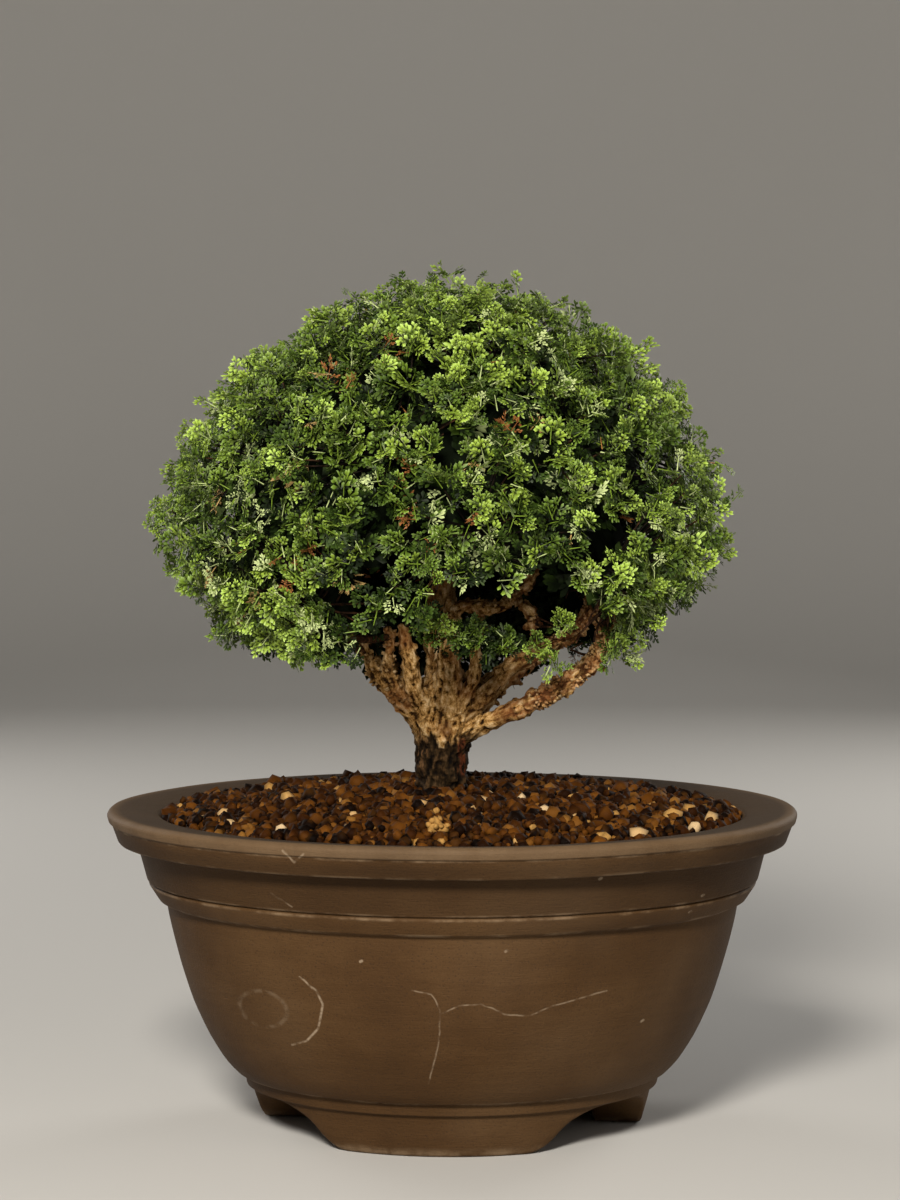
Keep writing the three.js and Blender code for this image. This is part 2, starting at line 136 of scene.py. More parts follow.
# ---------------------------------------------------------------- materials

# The palette card has this many cells along u, one for each tint.
CARD_CELLS = 256


def operator(name, swapped=False):
    """A method of Value that adds one Math node for two numbers, in order or swapped."""

    def method(self, other):
        return self.maths(name, other, self) if swapped else self.maths(name, self, other)

    return method


class Value:
    """A number in a material: its operators add Math nodes to the tree that it belongs to."""

    def __init__(self, finish, socket):
        self.finish, self.socket = finish, socket

    def maths(self, operation, *numbers):
        """The result of a Math node for one or two numbers."""
        node = self.finish.node("Math", {"operation": operation}, dict(enumerate(numbers)))
        return Value(self.finish, node.outputs[0])

    __add__, __radd__ = operator("ADD"), operator("ADD", True)
    __sub__, __rsub__ = operator("SUBTRACT"), operator("SUBTRACT", True)
    __mul__, __rmul__ = operator("MULTIPLY"), operator("MULTIPLY", True)
    __truediv__ = operator("DIVIDE")
    or_more = operator("MAXIMUM")

    def clamped(self):
        """Held between 0 and 1."""
        return self.maths("MINIMUM", self.or_more(0.0), 1.0)

    def root(self):
        return self.maths("SQRT", self)

    def size(self):
        return self.maths("ABSOLUTE", self)

    def step(self, start, end):
        """0 up to start and 1 from end, or the other way round, with a smooth change between."""
        low, high = sorted((start, end))
        values = {"Value": self, "From Min": low, "From Max": high}
        node = self.finish.node("MapRange", {"interpolation_type": "SMOOTHSTEP"}, values)
        result = Value(self.finish, node.outputs[0])
        return result if start < end else 1.0 - result


class Finish:
    """A material in the making: its methods add nodes and return sockets, or Values of them."""

    def __init__(self, name):
        self.material = bpy.data.materials.new(name)
        self.material.use_nodes = True
        self.tree = self.material.node_tree
        self.tree.nodes.clear()

    def node(self, kind, settings=None, values=None):
        """Adds a node, with its settings first, and then the values or links of its sockets."""
        node = self.tree.nodes.new("ShaderNode" + kind)
        for key, setting in (settings or {}).items():
            if key == "stops":
                self.fill_ramp(node.color_ramp.elements, setting)
            else:
                setattr(node, key, setting)
        for key, value in (values or {}).items():
            self.plug(node.inputs[key], value)
        return node

    def fill_ramp(self, elements, stops):
        """Gives a colour ramp its stops, as (place, tone)."""
        while len(elements) < len(stops):
            elements.new(1.0)
        for element, (place, tone) in zip(elements, stops):
            element.position = place
            element.color = (*tone, 1.0)

    def plug(self, socket, value):
        """Links a socket to a Value or to another socket, or sets it to a number or a colour."""
        if isinstance(value, Value):
            value = value.socket
        if isinstance(value, bpy.types.NodeSocket):
            self.tree.links.new(socket, value)
        elif isinstance(value, tuple) and len(value) == 3 and socket.type == "RGBA":
            socket.default_value = (*value, 1.0)
        else:
            socket.default_value = value

    def place(self):
        """Where a point is on the object, in metres, with x, y and z as numbers too."""
        spot = self.node("TexCoord").outputs["Object"]
        return (spot, *self.parts(spot))

    def parts(self, vector):
        """The three parts of a vector, as numbers."""
        split = self.node("SeparateXYZ", None, {0: vector})
        return tuple(Value(self, socket) for socket in split.outputs)

    def card(self):
        """A point's place on the palette card, as u and v."""
        return self.parts(self.node("UVMap", {"uv_map": "OFBake"}).outputs[0])[:2]

    def stored(self, name):
        """The outputs of a value that the mesh stores for each point."""
        return self.node("Attribute", {"attribute_name": name}).outputs

    def scaled_up(self, vector, share):
        """The vector with its third part multiplied by a share."""
        return self.node("Mapping", None, {"Vector": vector, "Scale": (1.0, 1.0, share)}).outputs[0]

    def noise(self, vector, scale, detail=3.0, roughness=0.55):
        """Soft noise from 0 to 1, with so many lumps to the metre and finer ones on them."""
        values = {"Vector": vector, "Scale": scale, "Detail": detail, "Roughness": roughness}
        return Value(self, self.node("TexNoise", None, values).outputs[0])

    def cells(self, vector, scale):
        """The distance to the nearest of the seeded points that fill space."""
        node = self.node("TexVoronoi", None, {"Vector": vector, "Scale": scale})
        return Value(self, node.outputs["Distance"])

    def ramp(self, value, stops):
        """The tone of a value between stops, as (place, tone)."""
        return self.node("ValToRGB", {"stops": stops}, {0: value}).outputs[0]

    def mix(self, share, first, second):
        """The first tone, and by a share of it the second instead."""
        return self.node("Mix", {"data_type": "RGBA"}, {0: share, 6: first, 7: second}).outputs[2]

    def surface(self, tone, roughness, specular=0.5, relief=None, depth_mm=0.0):
        """Ends the material with its shader, with a bump of some millimetres where it has relief."""
        values = {"Base Color": tone, "Roughness": roughness, "Specular IOR Level": specular}
        if relief is not None:
            bump = self.node("Bump", None, {"Height": relief, "Distance": depth_mm * MM})
            values["Normal"] = bump.outputs[0]
        shader = self.node("BsdfPrincipled", None, values)
        output = self.node("OutputMaterial", None, {"Surface": shader.outputs[0]})
        output.is_active_output = True
        return self.material


def along_line(x, z, start, end):
    """How far a point of the front is from a line between two points, in millimetres."""
    (ax, az), (bx, bz) = start, end
    dx, dz = bx - ax, bz - az
    share = (((x - ax) * dx + (z - az) * dz) / (dx * dx + dz * dz)).clamped()
    across = x - ax - share * dx
    up = z - az - share * dz
    return (across * across + up * up).root()


# Scuffs on the front of the bowl, as lines through (x, z) points, with width and strength, its
# specks, and a pressed ring, as its middle and half its width and height.
SCUFFS = [
    ([(-63.5, 80.5), (-56.5, 75), (-54.3, 69.1), (-56, 58.2), (-61, 52), (-67.7, 49)], 0.75, 0.75),
    ([(-16.7, 77.4), (-9, 75.5), (-5, 68.8), (-5.5, 54), (-10, 35.2)], 0.5, 0.42),
    ([(-5, 67), (3, 71), (11.7, 71.5), (22, 66.5), (32.5, 65.6)], 0.5, 0.42),
    ([(32.5, 65.6), (42, 69.5), (51.3, 71.5), (64.6, 74)], 0.5, 0.42),
    ([(-75, 117), (-66, 112)], 0.5, 0.3),
    ([(-69, 137.5), (-64.5, 132.5), (-60.5, 136.5)], 0.7, 0.5),
]
SPECKS = [(105.5, 112), (60.5, 124), (100, 105), (-38, 89), (22, 94), (80, 58)]
PRESSED_MARK = ((-80.0, 64.0), (10.5, 8.0))
# Worn edges of the bowl, as (height, half width), and the heights of its lip and of its ridge.
WORN_EDGES = ((24.4, 1.2), (101.0, 1.1), (108.0, 1.0), (109.8, 0.9), (126.6, 1.3), (134.6, 1.0))
LIP_EDGE, RIDGE_TOP = 134.6, 108.5
CLAY_TONES = [
    (0.30, (0.036, 0.017, 0.0055)),
    (0.48, (0.057, 0.028, 0.0095)),
    (0.64, (0.080, 0.042, 0.016)),
]
# Worn clay, the painted shade on the lip's top and the painted shade under the lip.
WORN_CLAY, PAINTED_SHADE_LIP_CLAY, SHADED_CLAY = (0.200, 0.136, 0.080), (0.020, 0.011, 0.005), (0.022, 0.011, 0.004)
CLAY_GRIT, SCUFFED_CLAY, DRY_CLAY = (0.028, 0.015, 0.008), (0.34, 0.26, 0.18), (0.120, 0.078, 0.044)


def scuffs(across, up):
    """How far a point of the front is scuffed: the most of the lines and the specks near it."""
    marks = []
    for points, width, strength in SCUFFS:
        for start, end in zip(points, points[1:]):
            marks.append(along_line(across, up, start, end).step(width, 0.15) * strength)
    for x, z in SPECKS:
        marks.append(along_line(across, up, (x, z), (x + 0.8, z + 0.4)).step(0.8, 0.3) * 0.6)
    most = marks[0]
    for mark in marks[1:]:
        most = most.or_more(mark)
    return most


def clay():
    """
    Unglazed clay: warm brown clouds and turned bands with dark grit, paler on the worn edges
    and feet, with painted shade under the lip and on the lip's top, and pale scuffs on the front.
    """
    finish = Finish("unglazed_brown_clay")
    spot, x, y, z = finish.place()
    front = y.step(0.01, -0.03)
    turned = finish.scaled_up(spot, 14.0)
    clouds = finish.noise(spot, 16.0, 4.0)
    bands = finish.noise(turned, 22.0, 4.0)
    grain = finish.noise(spot, 1500.0, 2.0)
    grit = finish.cells(spot, 620.0)
    body = finish.ramp(clouds * 0.62 + bands * 0.14 + grain * 0.24, CLAY_TONES)
    body = finish.mix((1.0 - grit.step(0.12, 0.30)) * 0.5, body, CLAY_GRIT)

    height = z * (1 / MM)
    reach = (x * x + y * y).root() * (1 / MM)
    patchy = finish.noise(spot, 60.0, 5.0, 0.65)
    worn = height.step(LIP_EDGE, LIP_EDGE + 1) * reach.step(127.0, 130.0) * (patchy * 0.5 + 0.12)
    for edge, width in WORN_EDGES:
        line = (height - edge).size().step(width, 0.1)
        worn = worn.or_more(line * patchy.step(0.42, 0.66) * 0.75)
    worn = worn.or_more(height.step(5.0, 0.5) * patchy.step(0.35, 0.6) * 0.7)
    body = finish.mix(worn.clamped(), body, WORN_CLAY)
    # Painted shade: the band under the lip, between the ridge and the lip, is darkened.
    painted_shade_under_lip = height.step(RIDGE_TOP, 111.0) * height.step(LIP_EDGE, 130.0) * reach.step(130.0, 133.0)
    body = finish.mix(painted_shade_under_lip * 0.42, body, SHADED_CLAY)
    # Painted shade: the lip's top and its inner edge by the gravel are darkened.
    painted_shade_lip_top = reach.step(151.2, 145.5) * height.step(136.8, 138.0) * (0.55 + 0.45 * patchy)
    painted_shade_lip_top = painted_shade_lip_top.or_more(height.step(136.0, 139.5) * reach.step(130.5, 128.5))
    body = finish.mix(painted_shade_lip_top.clamped() * 0.92, body, PAINTED_SHADE_LIP_CLAY)

    waver = finish.noise(spot, 90.0, 3.0) * 5.0 - 2.5
    fade = finish.noise(spot, 240.0, 2.0).step(0.36, 0.60)
    across, up = x * (1 / MM) + waver * 0.4, height + waver * 0.4
    (mark_x, mark_z), (half_wide, half_high) = PRESSED_MARK
    oval_x, oval_z = (across - mark_x) * (1 / half_wide), (up - mark_z) * (1 / half_high)
    oval = ((oval_x * oval_x + oval_z * oval_z).root() - 1.0).size().step(0.16, 0.02)
    scuffed = (scuffs(across, up) * (fade * 0.85 + 0.1) + oval * fade * 0.16) * front
    body = finish.mix(scuffed.clamped(), body, SCUFFED_CLAY)

    dry = finish.noise(spot, 9.0, 3.0).step(0.5, 0.72) * 0.18
    body = finish.mix(dry, body, DRY_CLAY)
    relief = grain * 0.35 + grit * 0.4 + finish.noise(turned, 160.0, 3.0) * 0.8 - scuffed * 0.3
    return finish.surface(body, 0.60 + grain * 0.2 - worn * 0.05, 0.12, relief, 0.24)


BARK_TONES = [
    (0.378, (0.008, 0.003, 0.001)),
    (0.430, (0.092, 0.038, 0.007)),
    (0.482, (0.300, 0.154, 0.041)),
    (0.545, (0.550, 0.325, 0.116)),
    (0.630, (0.820, 0.590, 0.320)),
]
DAMP_BARK_TONES = [
    (0.42, (0.0015, 0.0007, 0.0002)),
    (0.54, (0.0055, 0.0028, 0.001)),
    (0.66, (0.045, 0.022, 0.008)),
]
RED_BARK, FURROW, SHADED_BARK = (0.215, 0.068, 0.020), (0.014, 0.006, 0.002), (0.060, 0.025, 0.008)
KNOB_BARK, SHADE_BETWEEN_BEADS = (0.330, 0.115, 0.042), (0.045, 0.016, 0.006)
RED_SCAR, PALE_SCAR = (0.110, 0.028, 0.010), (0.15, 0.075, 0.030)


def bark():
    """
    Hinoki bark: tan and red-brown fibres that peel in strips, lighter on the ridges and dark in the
    furrows, partly their own colour and partly painted highlight and shade, with painted shade
    between the beads of the right limbs, nearly black at the wet foot of the trunk.
    """
    finish = Finish("peeling_cypress_bark")
    spot, x, y, z = finish.place()
    long_grain = finish.scaled_up(finish.stored("grain")["Vector"], 0.8)
    ridge = Value(finish, finish.stored("ridge")["Fac"])
    fibres = finish.noise(long_grain, 980.0, 5.0, 0.70)
    strips = finish.noise(long_grain, 330.0, 4.0, 0.62)
    flecks = finish.noise(spot, 1250.0, 3.0, 0.7)
    patches = finish.noise(spot, 62.0, 3.0)
    # Ridge tops are lighter: partly the bark's own colour, partly a painted highlight.
    tone = finish.ramp(fibres * 0.36 + strips * 0.16 + ridge * 0.20 + flecks * 0.28, BARK_TONES)
    tone = finish.mix(patches.step(0.50, 0.66) * 0.55, tone, RED_BARK)
    # Dark in the furrows: partly the bark's own colour, partly painted shade.
    tone = finish.mix(ridge.step(0.30, 0.10) * 0.8, tone, FURROW)
    shaded = finish.noise(long_grain, 130.0, 3.0).step(0.50, 0.62)
    tone = finish.mix(shaded * 0.45, tone, SHADED_BARK)
    height, across = z * (1 / MM), x * (1 / MM)
    tone = finish.mix(across.step(20.0, 34.0) * strips.step(0.56, 0.44) * 0.5, tone, KNOB_BARK)
    # Painted shade: the skin between the beads of the right limbs is darkened.
    tone = finish.mix(across.step(26.0, 40.0) * ridge.step(0.66, 0.44) * 0.7, tone, SHADE_BETWEEN_BEADS)
    ragged = height + (strips * 30.0 - 15.0) + (patches * 24.0 - 12.0)
    stained = finish.ramp(fibres * 0.6 + ridge * 0.4, DAMP_BARK_TONES)
    tone = finish.mix(ragged.step(176.0, 168.0) * 0.97, tone, stained)
    front = y.step(0.0, -0.004)
    scar = (across - 4.2).size().step(2.2, 1.2) * height.step(173.0, 170.0) * height.step(153.0, 157.0)
    tone = finish.mix(scar * front * strips.step(0.44, 0.54) * 0.8, tone, RED_SCAR)
    scar = (across + 13.0).size().step(3.0, 1.6) * (height - 166.0).size().step(11.0, 7.0)
    tone = finish.mix(scar * front * strips.step(0.48, 0.56) * 0.6, tone, PALE_SCAR)
    relief = fibres * 1.0 + strips * 0.6 + flecks * 0.5
    return finish.surface(tone, 0.66 + fibres * 0.2, 0.08, relief, 1.0)


TWIG_TONES = [(0.36, (0.010, 0.004, 0.001)), (0.5, (0.036, 0.014, 0.005)), (0.66, (0.14, 0.062, 0.024))]
TWIG_SHADE = (0.002, 0.001, 0.0005)


def twig_bark():
    """Young wood: red-brown, smoother than the old bark, with painted shade, nearly black, inside the
    crown.
    """
    finish = Finish("young_twig_bark")
    spot, x, y, z = finish.place()
    speckle = finish.noise(spot, 420.0, 4.0, 0.6)
    aside, up = x - CROWN_CENTRE[0] * MM, z - CROWN_CENTRE[2] * MM
    # Painted shade: twigs inside the crown, above the limbs, are darkened nearly to black.
    inside = (aside * aside + y * y + up * up).root().step(0.124, 0.106) * z.step(0.224, 0.246)
    tone = finish.mix(inside * 0.92, finish.ramp(speckle, TWIG_TONES), TWIG_SHADE)
    return finish.surface(tone, 0.78, 0.16, speckle, 0.4)


# Tints along the leaf card's first direction, from near-black painted shade to spent ones.
LEAF_TINTS = [
    (0.000, (0.0012, 0.0014, 0.0006)),
    (0.010, (0.0012, 0.0014, 0.0006)),
    (0.020, (0.007, 0.014, 0.003)),
    (0.22, (0.036, 0.066, 0.008)),
    (0.45, (0.118, 0.192, 0.019)),
    (0.65, (0.235, 0.340, 0.036)),
    (0.80, (0.310, 0.445, 0.054)),
    (0.89, (0.370, 0.530, 0.084)),
    (0.92, (0.340, 0.430, 0.150)),
    (0.955, (0.490, 0.560, 0.265)),
    (0.975, (0.400, 0.200, 0.060)),
    (1.00, (0.150, 0.030, 0.009)),
]
TINT_PALE, TINT_STRAW, TINT_RUST = 0.945, 0.974, 0.993
YOUNG_TIP_AND_HIGHLIGHT, PAINTED_SHADE_ROOT, UNDERSIDE = (0.60, 0.74, 0.420), (0.002, 0.004, 0.001), (0.180, 0.230, 0.090)


def leaf_green():
    """
    Scale leaves: the tint runs along u; v runs from root to tip, with undersides below half.
    Tips of green sprays are paler, young growth with a painted highlight; roots get painted shade, near
    black; undersides a little milky.
    """
    finish = Finish("hinoki_scale_leaf")
    u, v = finish.card()
    upper = v.step(0.495, 0.505)
    toward_tip = (v * 2.0 - upper).clamped()
    # Paler tips: young growth, and partly a painted highlight.
    young_and_highlight = toward_tip.step(0.62, 1.0) * (1.0 - u.step(0.88, 0.93)) * u.step(0.1, 0.6) * 0.42
    tone = finish.mix(young_and_highlight, finish.ramp(u, LEAF_TINTS), YOUNG_TIP_AND_HIGHLIGHT)
    # Painted shade: the roots of lobes and sprigs are darkened nearly to black.
    tone = finish.mix(toward_tip.step(0.76, 0.14) * (0.95 - 0.5 * u.step(0.90, 0.94)), tone, PAINTED_SHADE_ROOT)
    under = (1.0 - upper) * (1.0 - u.step(0.93, 0.97)) * u.step(0.02, 0.05) * 0.24
    tone = finish.mix(under, tone, UNDERSIDE)
    return finish.surface(tone, 0.42 + 0.55 * u.step(0.025, 0.012), 0.10)


# Gravel tints along the card's first direction: lava, fired clay grains and pumice.
GRAVEL_TINTS = [
    (0.00, (0.002, 0.0008, 0.0002)),
    (0.14, (0.004, 0.0012, 0.0002)),
    (0.34, (0.012, 0.0032, 0.0003)),
    (0.56, (0.034, 0.0098, 0.0009)),
    (0.78, (0.098, 0.033, 0.0034)),
    (0.92, (0.200, 0.092, 0.018)),
    (0.955, (0.430, 0.240, 0.070)),
    (1.00, (0.640, 0.500, 0.310)),
]
DARK_FACET, LIGHT_FACET = (0.003, 0.0010, 0.0003), (0.23, 0.088, 0.014)


def gravel_stone():
    """Gravel: one tint for each granule along u, and a lighter or darker facet along v."""
    finish = Finish("mixed_bonsai_gravel")
    u, v = finish.card()
    tone = finish.mix((0.5 - v).clamped() * 1.5, finish.ramp(u, GRAVEL_TINTS), DARK_FACET)
    tone = finish.mix((v - 0.5).clamped() * 0.46, tone, LIGHT_FACET)
    return finish.surface(tone, 0.70, 0.05)


def fine_soil():
    """The fines under the gravel: dark and crumbly."""
    finish = Finish("dark_fines")
    crumbs = finish.noise(finish.place()[0], 500.0, 4.0, 0.65)
    tone = finish.ramp(crumbs, [(0.38, (0.007, 0.003, 0.001)), (0.62, (0.040, 0.017, 0.006))])
    return finish.surface(tone, 0.95, relief=crumbs, depth_mm=0.8)


def mesh_plastic():
    """Black drainage mesh, a little dusty."""
    finish = Finish("black_mesh_plastic")
    dust = finish.noise(finish.place()[0], 300.0, 3.0)
    tone = finish.ramp(dust, [(0.4, (0.012, 0.012, 0.013)), (0.7, (0.05, 0.047, 0.043))])
    return finish.surface(tone, 0.45 + dust * 0.25, relief=dust, depth_mm=0.1)


def pale_floor():
    """One even, dull and pale tone."""
    return Finish("pale_floor").surface(FLOOR_TONE, 0.9)


# ---------------------------------------------------------------- meshes


def make_piece(name, points, faces, finish, card=None, sharp_angle=None):
    """
    A mesh object from points in millimetres and a list of face arrays, all triangles or all
    quads in each. card gives each face corner its place on the finish's card.
    """
    mesh = bpy.data.meshes.new(name)
    mesh.vertices.add(len(points))
    mesh.vertices.foreach_set("co", (np.asarray(points) * MM).astype(np.float32).ravel())
    corners = np.concatenate([part.ravel() for part in faces])
    sizes = np.concatenate([np.full(len(part), part.shape[1]) for part in faces])
    mesh.loops.add(len(corners))
    mesh.loops.foreach_set("vertex_index", corners.astype(np.int32))
    mesh.polygons.add(len(sizes))
    starts = np.concatenate([[0], np.cumsum(sizes)[:-1]])
    mesh.polygons.foreach_set("loop_start", starts.astype(np.int32))
    mesh.polygons.foreach_set("use_smooth", np.ones(len(sizes), bool))
    if card is not None:
        mesh.uv_layers.new(name="OFBake").data.foreach_set("uv", card.astype(np.float32).ravel())
    mesh.update(calc_edges=True)
    mesh.validate()
    if sharp_angle is not None:
        mesh.set_sharp_from_angle(angle=math.radians(sharp_angle))
    mesh.materials.append(finish)
    piece = bpy.data.objects.new(name, mesh)
    bpy.context.scene.collection.objects.link(piece)
    return piece


def grid_quads(rows, columns, closed_rows=False):
    """The quads of a grid of points, row by row; the columns go round, and the rows may too."""
    i, j = np.divmod(np.arange((rows if closed_rows else rows - 1) * columns), columns)
    next_i, next_j = (i + 1) % rows, (j + 1) % columns
    square = [i * columns + j, i * columns + next_j, next_i * columns + next_j, next_i * columns + j]
    return np.stack(square, axis=1)


def waves(points, size, seed, count=9):
    """
    Soft seeded noise, mostly from -1 to 1: sine waves of about one size in all directions,
    summed, and divided by the root of their number.
    """
    draw = np.random.default_rng(seed)
    ways = unit(draw.normal(size=(count, 3)))
    ways *= 2 * math.pi / size * draw.uniform(0.6, 1.5, size=(count, 1))
    shifts = draw.uniform(0, 2 * math.pi, count)
    total = np.sin(np.asarray(points) @ ways.T + shifts).sum(axis=-1)
    return total / math.sqrt(count) * 0.9


def unit(vectors):
    """The vectors divided by their lengths."""
    return vectors / np.maximum(np.linalg.norm(vectors, axis=-1, keepdims=True), 1e-9)


def smooth_step(values, low, high):
    """0 up to low and 1 from high; between them 3 s^2 - 2 s^3, where s is the share of the way."""
    share = np.clip((values - low) / (high - low), 0, 1)
    return share * share * (3 - 2 * share)


def closed_rows_of(rows, middles, outwards=True):
    """
    Rings of points, row by row, as one closed shape: their quads, and a fan to a middle point
    at each end. The faces are turned over where the rows run down instead of up.
    """
    count, sides = rows.shape[:2]
    points = np.vstack([rows.reshape(-1, 3), middles])
    ring = np.arange(sides)
    following = np.roll(ring, -1)
    low, high, last = count * sides, count * sides + 1, (count - 1) * sides
    caps = np.vstack(
        [
            np.stack([np.full(sides, low), following, ring], axis=1),
            np.stack([np.full(sides, high), last + ring, last + following], axis=1),
        ]
    )
    quads = grid_quads(count, sides)
    if outwards:
        return points, quads, caps
    return points, quads[:, ::-1], caps[:, [0, 2, 1]]


def circle(count):
    """The angles of evenly spaced points of a circle."""
    return np.linspace(0, 2 * math.pi, count, endpoint=False)


def square_to(ways, steep):
    """
    Two directions square to each way and to each other: the first is the cross product of the
    upright and the way, or of the x axis where the way is steeper than the given sine.
    """
    helper = np.where(np.abs(ways[..., 2:]) > steep, [1.0, 0, 0], [0, 0, 1.0])
    first = unit(np.cross(helper, ways))
    return first, np.cross(ways, first)


def carded(tint, spread, light):
    """
    Card places of triangle corners: u is the middle of the tint's cell, shifted by the spread of
    the three corners, and v is their light.
    """
    u = (np.floor(tint * (CARD_CELLS - 1))[..., None, None] + 0.5 + np.array(spread)) / CARD_CELLS
    return np.stack(np.broadcast_arrays(u, light), axis=-1).reshape(-1, 2)


def make_sweep():
    """The floor and its wall: the line of the sweep carried round the axis, facing inwards."""
    line, turns = np.array(SWEEP), circle(SWEEP_COLUMNS)
    x, y = line[:, :1] * np.cos(turns), line[:, :1] * np.sin(turns)
    points = np.stack([x, y, line[:, 1:] + 0 * x], axis=-1).reshape(-1, 3)
    return make_piece("floor", points, [grid_quads(len(line), SWEEP_COLUMNS)], pale_floor())


# ---------------------------------------------------------------- pot

# The turns of the three feet, the radii of a foot's inside, its outside and the lower band, and
# how far the wall over an arch is flared out.
FOOT_TURNS = np.radians([-95.0, 25.0, 145.0])
FOOT_INSIDE, FOOT_OUTSIDE, BAND_RADIUS, FOOT_FLARE = 63.0, 83.7, 89.5, 5.2
FOOT_TOP, FLOOR_UNDERSIDE = 18.4, 15.0
# The height of an arch, as (degrees from the middle of a foot, height).
FOOT_EDGE = [
    (0, 0), (27.5, 0), (29.7, 0.35), (31.6, 1.4), (34, 3.6), (36, 6.4), (37.8, 9.6), (40.5, 12.8),
    (44.2, 15.4), (48, 17.2), (52.8, 18.1), (60, 18.2),
]
POT_COLUMNS = 288
# Corners of the pot's section, as (radius, height, fillet).
POT_SECTION = [
    (17, 25, 0.8), (70, 25, 3), (98, 42, 5), (115, 80, 6), (129, 138.2, 1.6), (150.9, 140.4, 1.3),
    (152.7, 138.4, 0.9), (151.8, 135.3, 0.25), (150.6, 134.6, 0.25), (147.6, 126.4, 0.8),
    (139.4, 126.3, 0.7), (134.9, 109.7, 0.5), (133.1, 109.2, 0.25), (134.3, 108.2, 0.6),
    (129.8, 101.3, 0.5), (126.3, 99.9, 0.5), (125.5, 94.5, 2.5), (123.1, 84.5, 5), (119.9, 72, 5),
    (115, 56.5, 5), (108.2, 41.5, 5), (101, 30, 4), (95.6, 24.7, 0.5), (92.4, 24.3, 0.5),
    (91.4, 18.9, 0.5), (88.9, 18.4, 0.6), (86.4, 9.2, 3), (83.7, 0, 1.6), (63, 0, 1.6), (66, 15, 1.2),
    (17, 15, 0.8),
]


def rounded_section(section):
    """
    The closed section with each corner cut back by its fillet on both sides and bridged by a
    parabola of three points.
    """
    corners, fillets = np.array(section)[:, :2], np.array(section)[:, 2:]
    ends = []
    for side in (1, -1):
        away = np.roll(corners, side, axis=0) - corners
        long = np.linalg.norm(away, axis=1, keepdims=True)
        ends.append(corners + away / long * np.minimum(fillets, 0.45 * long))
    start, end = ends
    share = np.array([0.0, 0.5, 1.0])[None, :, None]
    bends = (
        (1 - share) ** 2 * start[:, None]
        + 2 * share * (1 - share) * corners[:, None]
        + share**2 * end[:, None]
    )
    return bends.reshape(-1, 2)


def make_pot():
    """
    The section carried round the axis. Where there is no foot, everything under the lower band
    is squeezed up to the arch: height h + z (1 - h / top), with h the arch's height there. The
    outside is drawn in and out by the potter's hand: waves of 120 and of 28 mm.
    """
    section = rounded_section(POT_SECTION)
    turns = circle(POT_COLUMNS) + math.pi / 2
    from_foot = np.abs((turns[:, None] - FOOT_TURNS + math.pi) % (2 * math.pi) - math.pi).min(axis=1)
    arch = np.interp(np.degrees(from_foot), *np.array(FOOT_EDGE).T)[None, :]
    reach, height = section[:, :1], section[:, 1:]
    inner = np.minimum(arch, FLOOR_UNDERSIDE - 0.2)
    outward = smooth_step(reach, FOOT_INSIDE, FOOT_OUTSIDE)
    raised = inner + (arch - inner) * outward
    top = FLOOR_UNDERSIDE + (FOOT_TOP - FLOOR_UNDERSIDE) * outward
    in_foot = (reach > FOOT_INSIDE - 3) & (height < top + 0.05) & (reach < BAND_RADIUS)
    squeezed = raised + height * (1 - raised / top)
    z = np.where(in_foot, squeezed, height + 0 * raised)
    flare = FOOT_FLARE * raised / FOOT_TOP * (1 - height / FOOT_TOP) * outward
    r = np.where(in_foot, reach + flare, reach + 0 * raised)
    points = np.stack([r * np.cos(turns), r * np.sin(turns), z], axis=-1)
    hand = waves(points, 120.0, 3) * 0.22 + waves(points, 28.0, 4) * 0.07
    away = np.stack([np.cos(turns), np.sin(turns), 0 * turns], axis=-1)
    firm = smooth_step(z, 1.0, 8.0)[..., None]
    points = points + away[None] * hand[..., None] * firm
    points[..., 2] += waves(points, 110.0, 5) * 0.12 * firm[..., 0]
    rows, columns = points.shape[:2]
    quads = grid_quads(rows, columns, closed_rows=True)[:, ::-1]
    i, j = np.divmod(np.arange(rows * columns), columns)
    lengths = np.linalg.norm(np.roll(section, -1, axis=0) - section, axis=1)
    down = np.concatenate([[0], np.cumsum(lengths)]) / lengths.sum()
    corners = [(j, i + 1), (j + 1, i + 1), (j + 1, i), (j, i)]
    card = np.stack([np.stack([a / columns, down[b]], axis=-1) for a, b in corners], axis=1)
    return make_piece("clay_bowl", points.reshape(-1, 3), [quads], clay(), card)


# ---------------------------------------------------------------- soil and gravel

# The mound of gravel: its top, its fall out to its reach, and the radius inside the wall.
MOUND_TOP, MOUND_FALL, MOUND_REACH, SOIL_RADIUS = 149.0, 11.0, 129.0, 128.6
# The bed under the granules: how deep it lies, and its side and floor as (radius, height).
BED_DEPTH, BED_RINGS = 2.6, 26
BED_SIDE = [(114.0, 80.0), (97.5, 42.5), (69.5, 27.0), (69.5, 25.4), (0.5, 25.4)]
STEM_X, STEM_RADIUS = -4.5, 11.8
# Granules: their pitch on the grid, how many more lie on top, how deep the lowest are sunk,
# their middle, least and greatest size, and the shares of pale and of dark ones.
GRAVEL_PITCH, EXTRA_GRANULES, GRANULE_SINK = 3.95, 520, 1.3
GRANULE_SIZE, LEAST_GRANULE, GREATEST_GRANULE = 2.42, 1.3, 4.4
PALE_SHARE, DARK_SHARE = 0.018, 0.10
# The rows of a triangular grid lie this share of its pitch apart.
TRIANGLE_ROWS = 0.866
# Granules that stand out, as (x, y, size, tint).
NOTED_GRANULES = [
    (-72, -88, 3.4, 0.99), (-99, -36, 3.2, 0.97), (95, -52, 4, 0.96), (103, -68, 3.4, 0.985),
    (78, -95, 3.8, 0.975), (63, -104, 3.4, 0.955), (112, -42, 4.2, 0.97), (104, -30, 4.6, 0.95),
    (40, -60, 3, 0.985), (30, -34, 2.6, 0.99), (-42, -70, 3, 0.97), (52, -28, 3.2, 0.96),
]
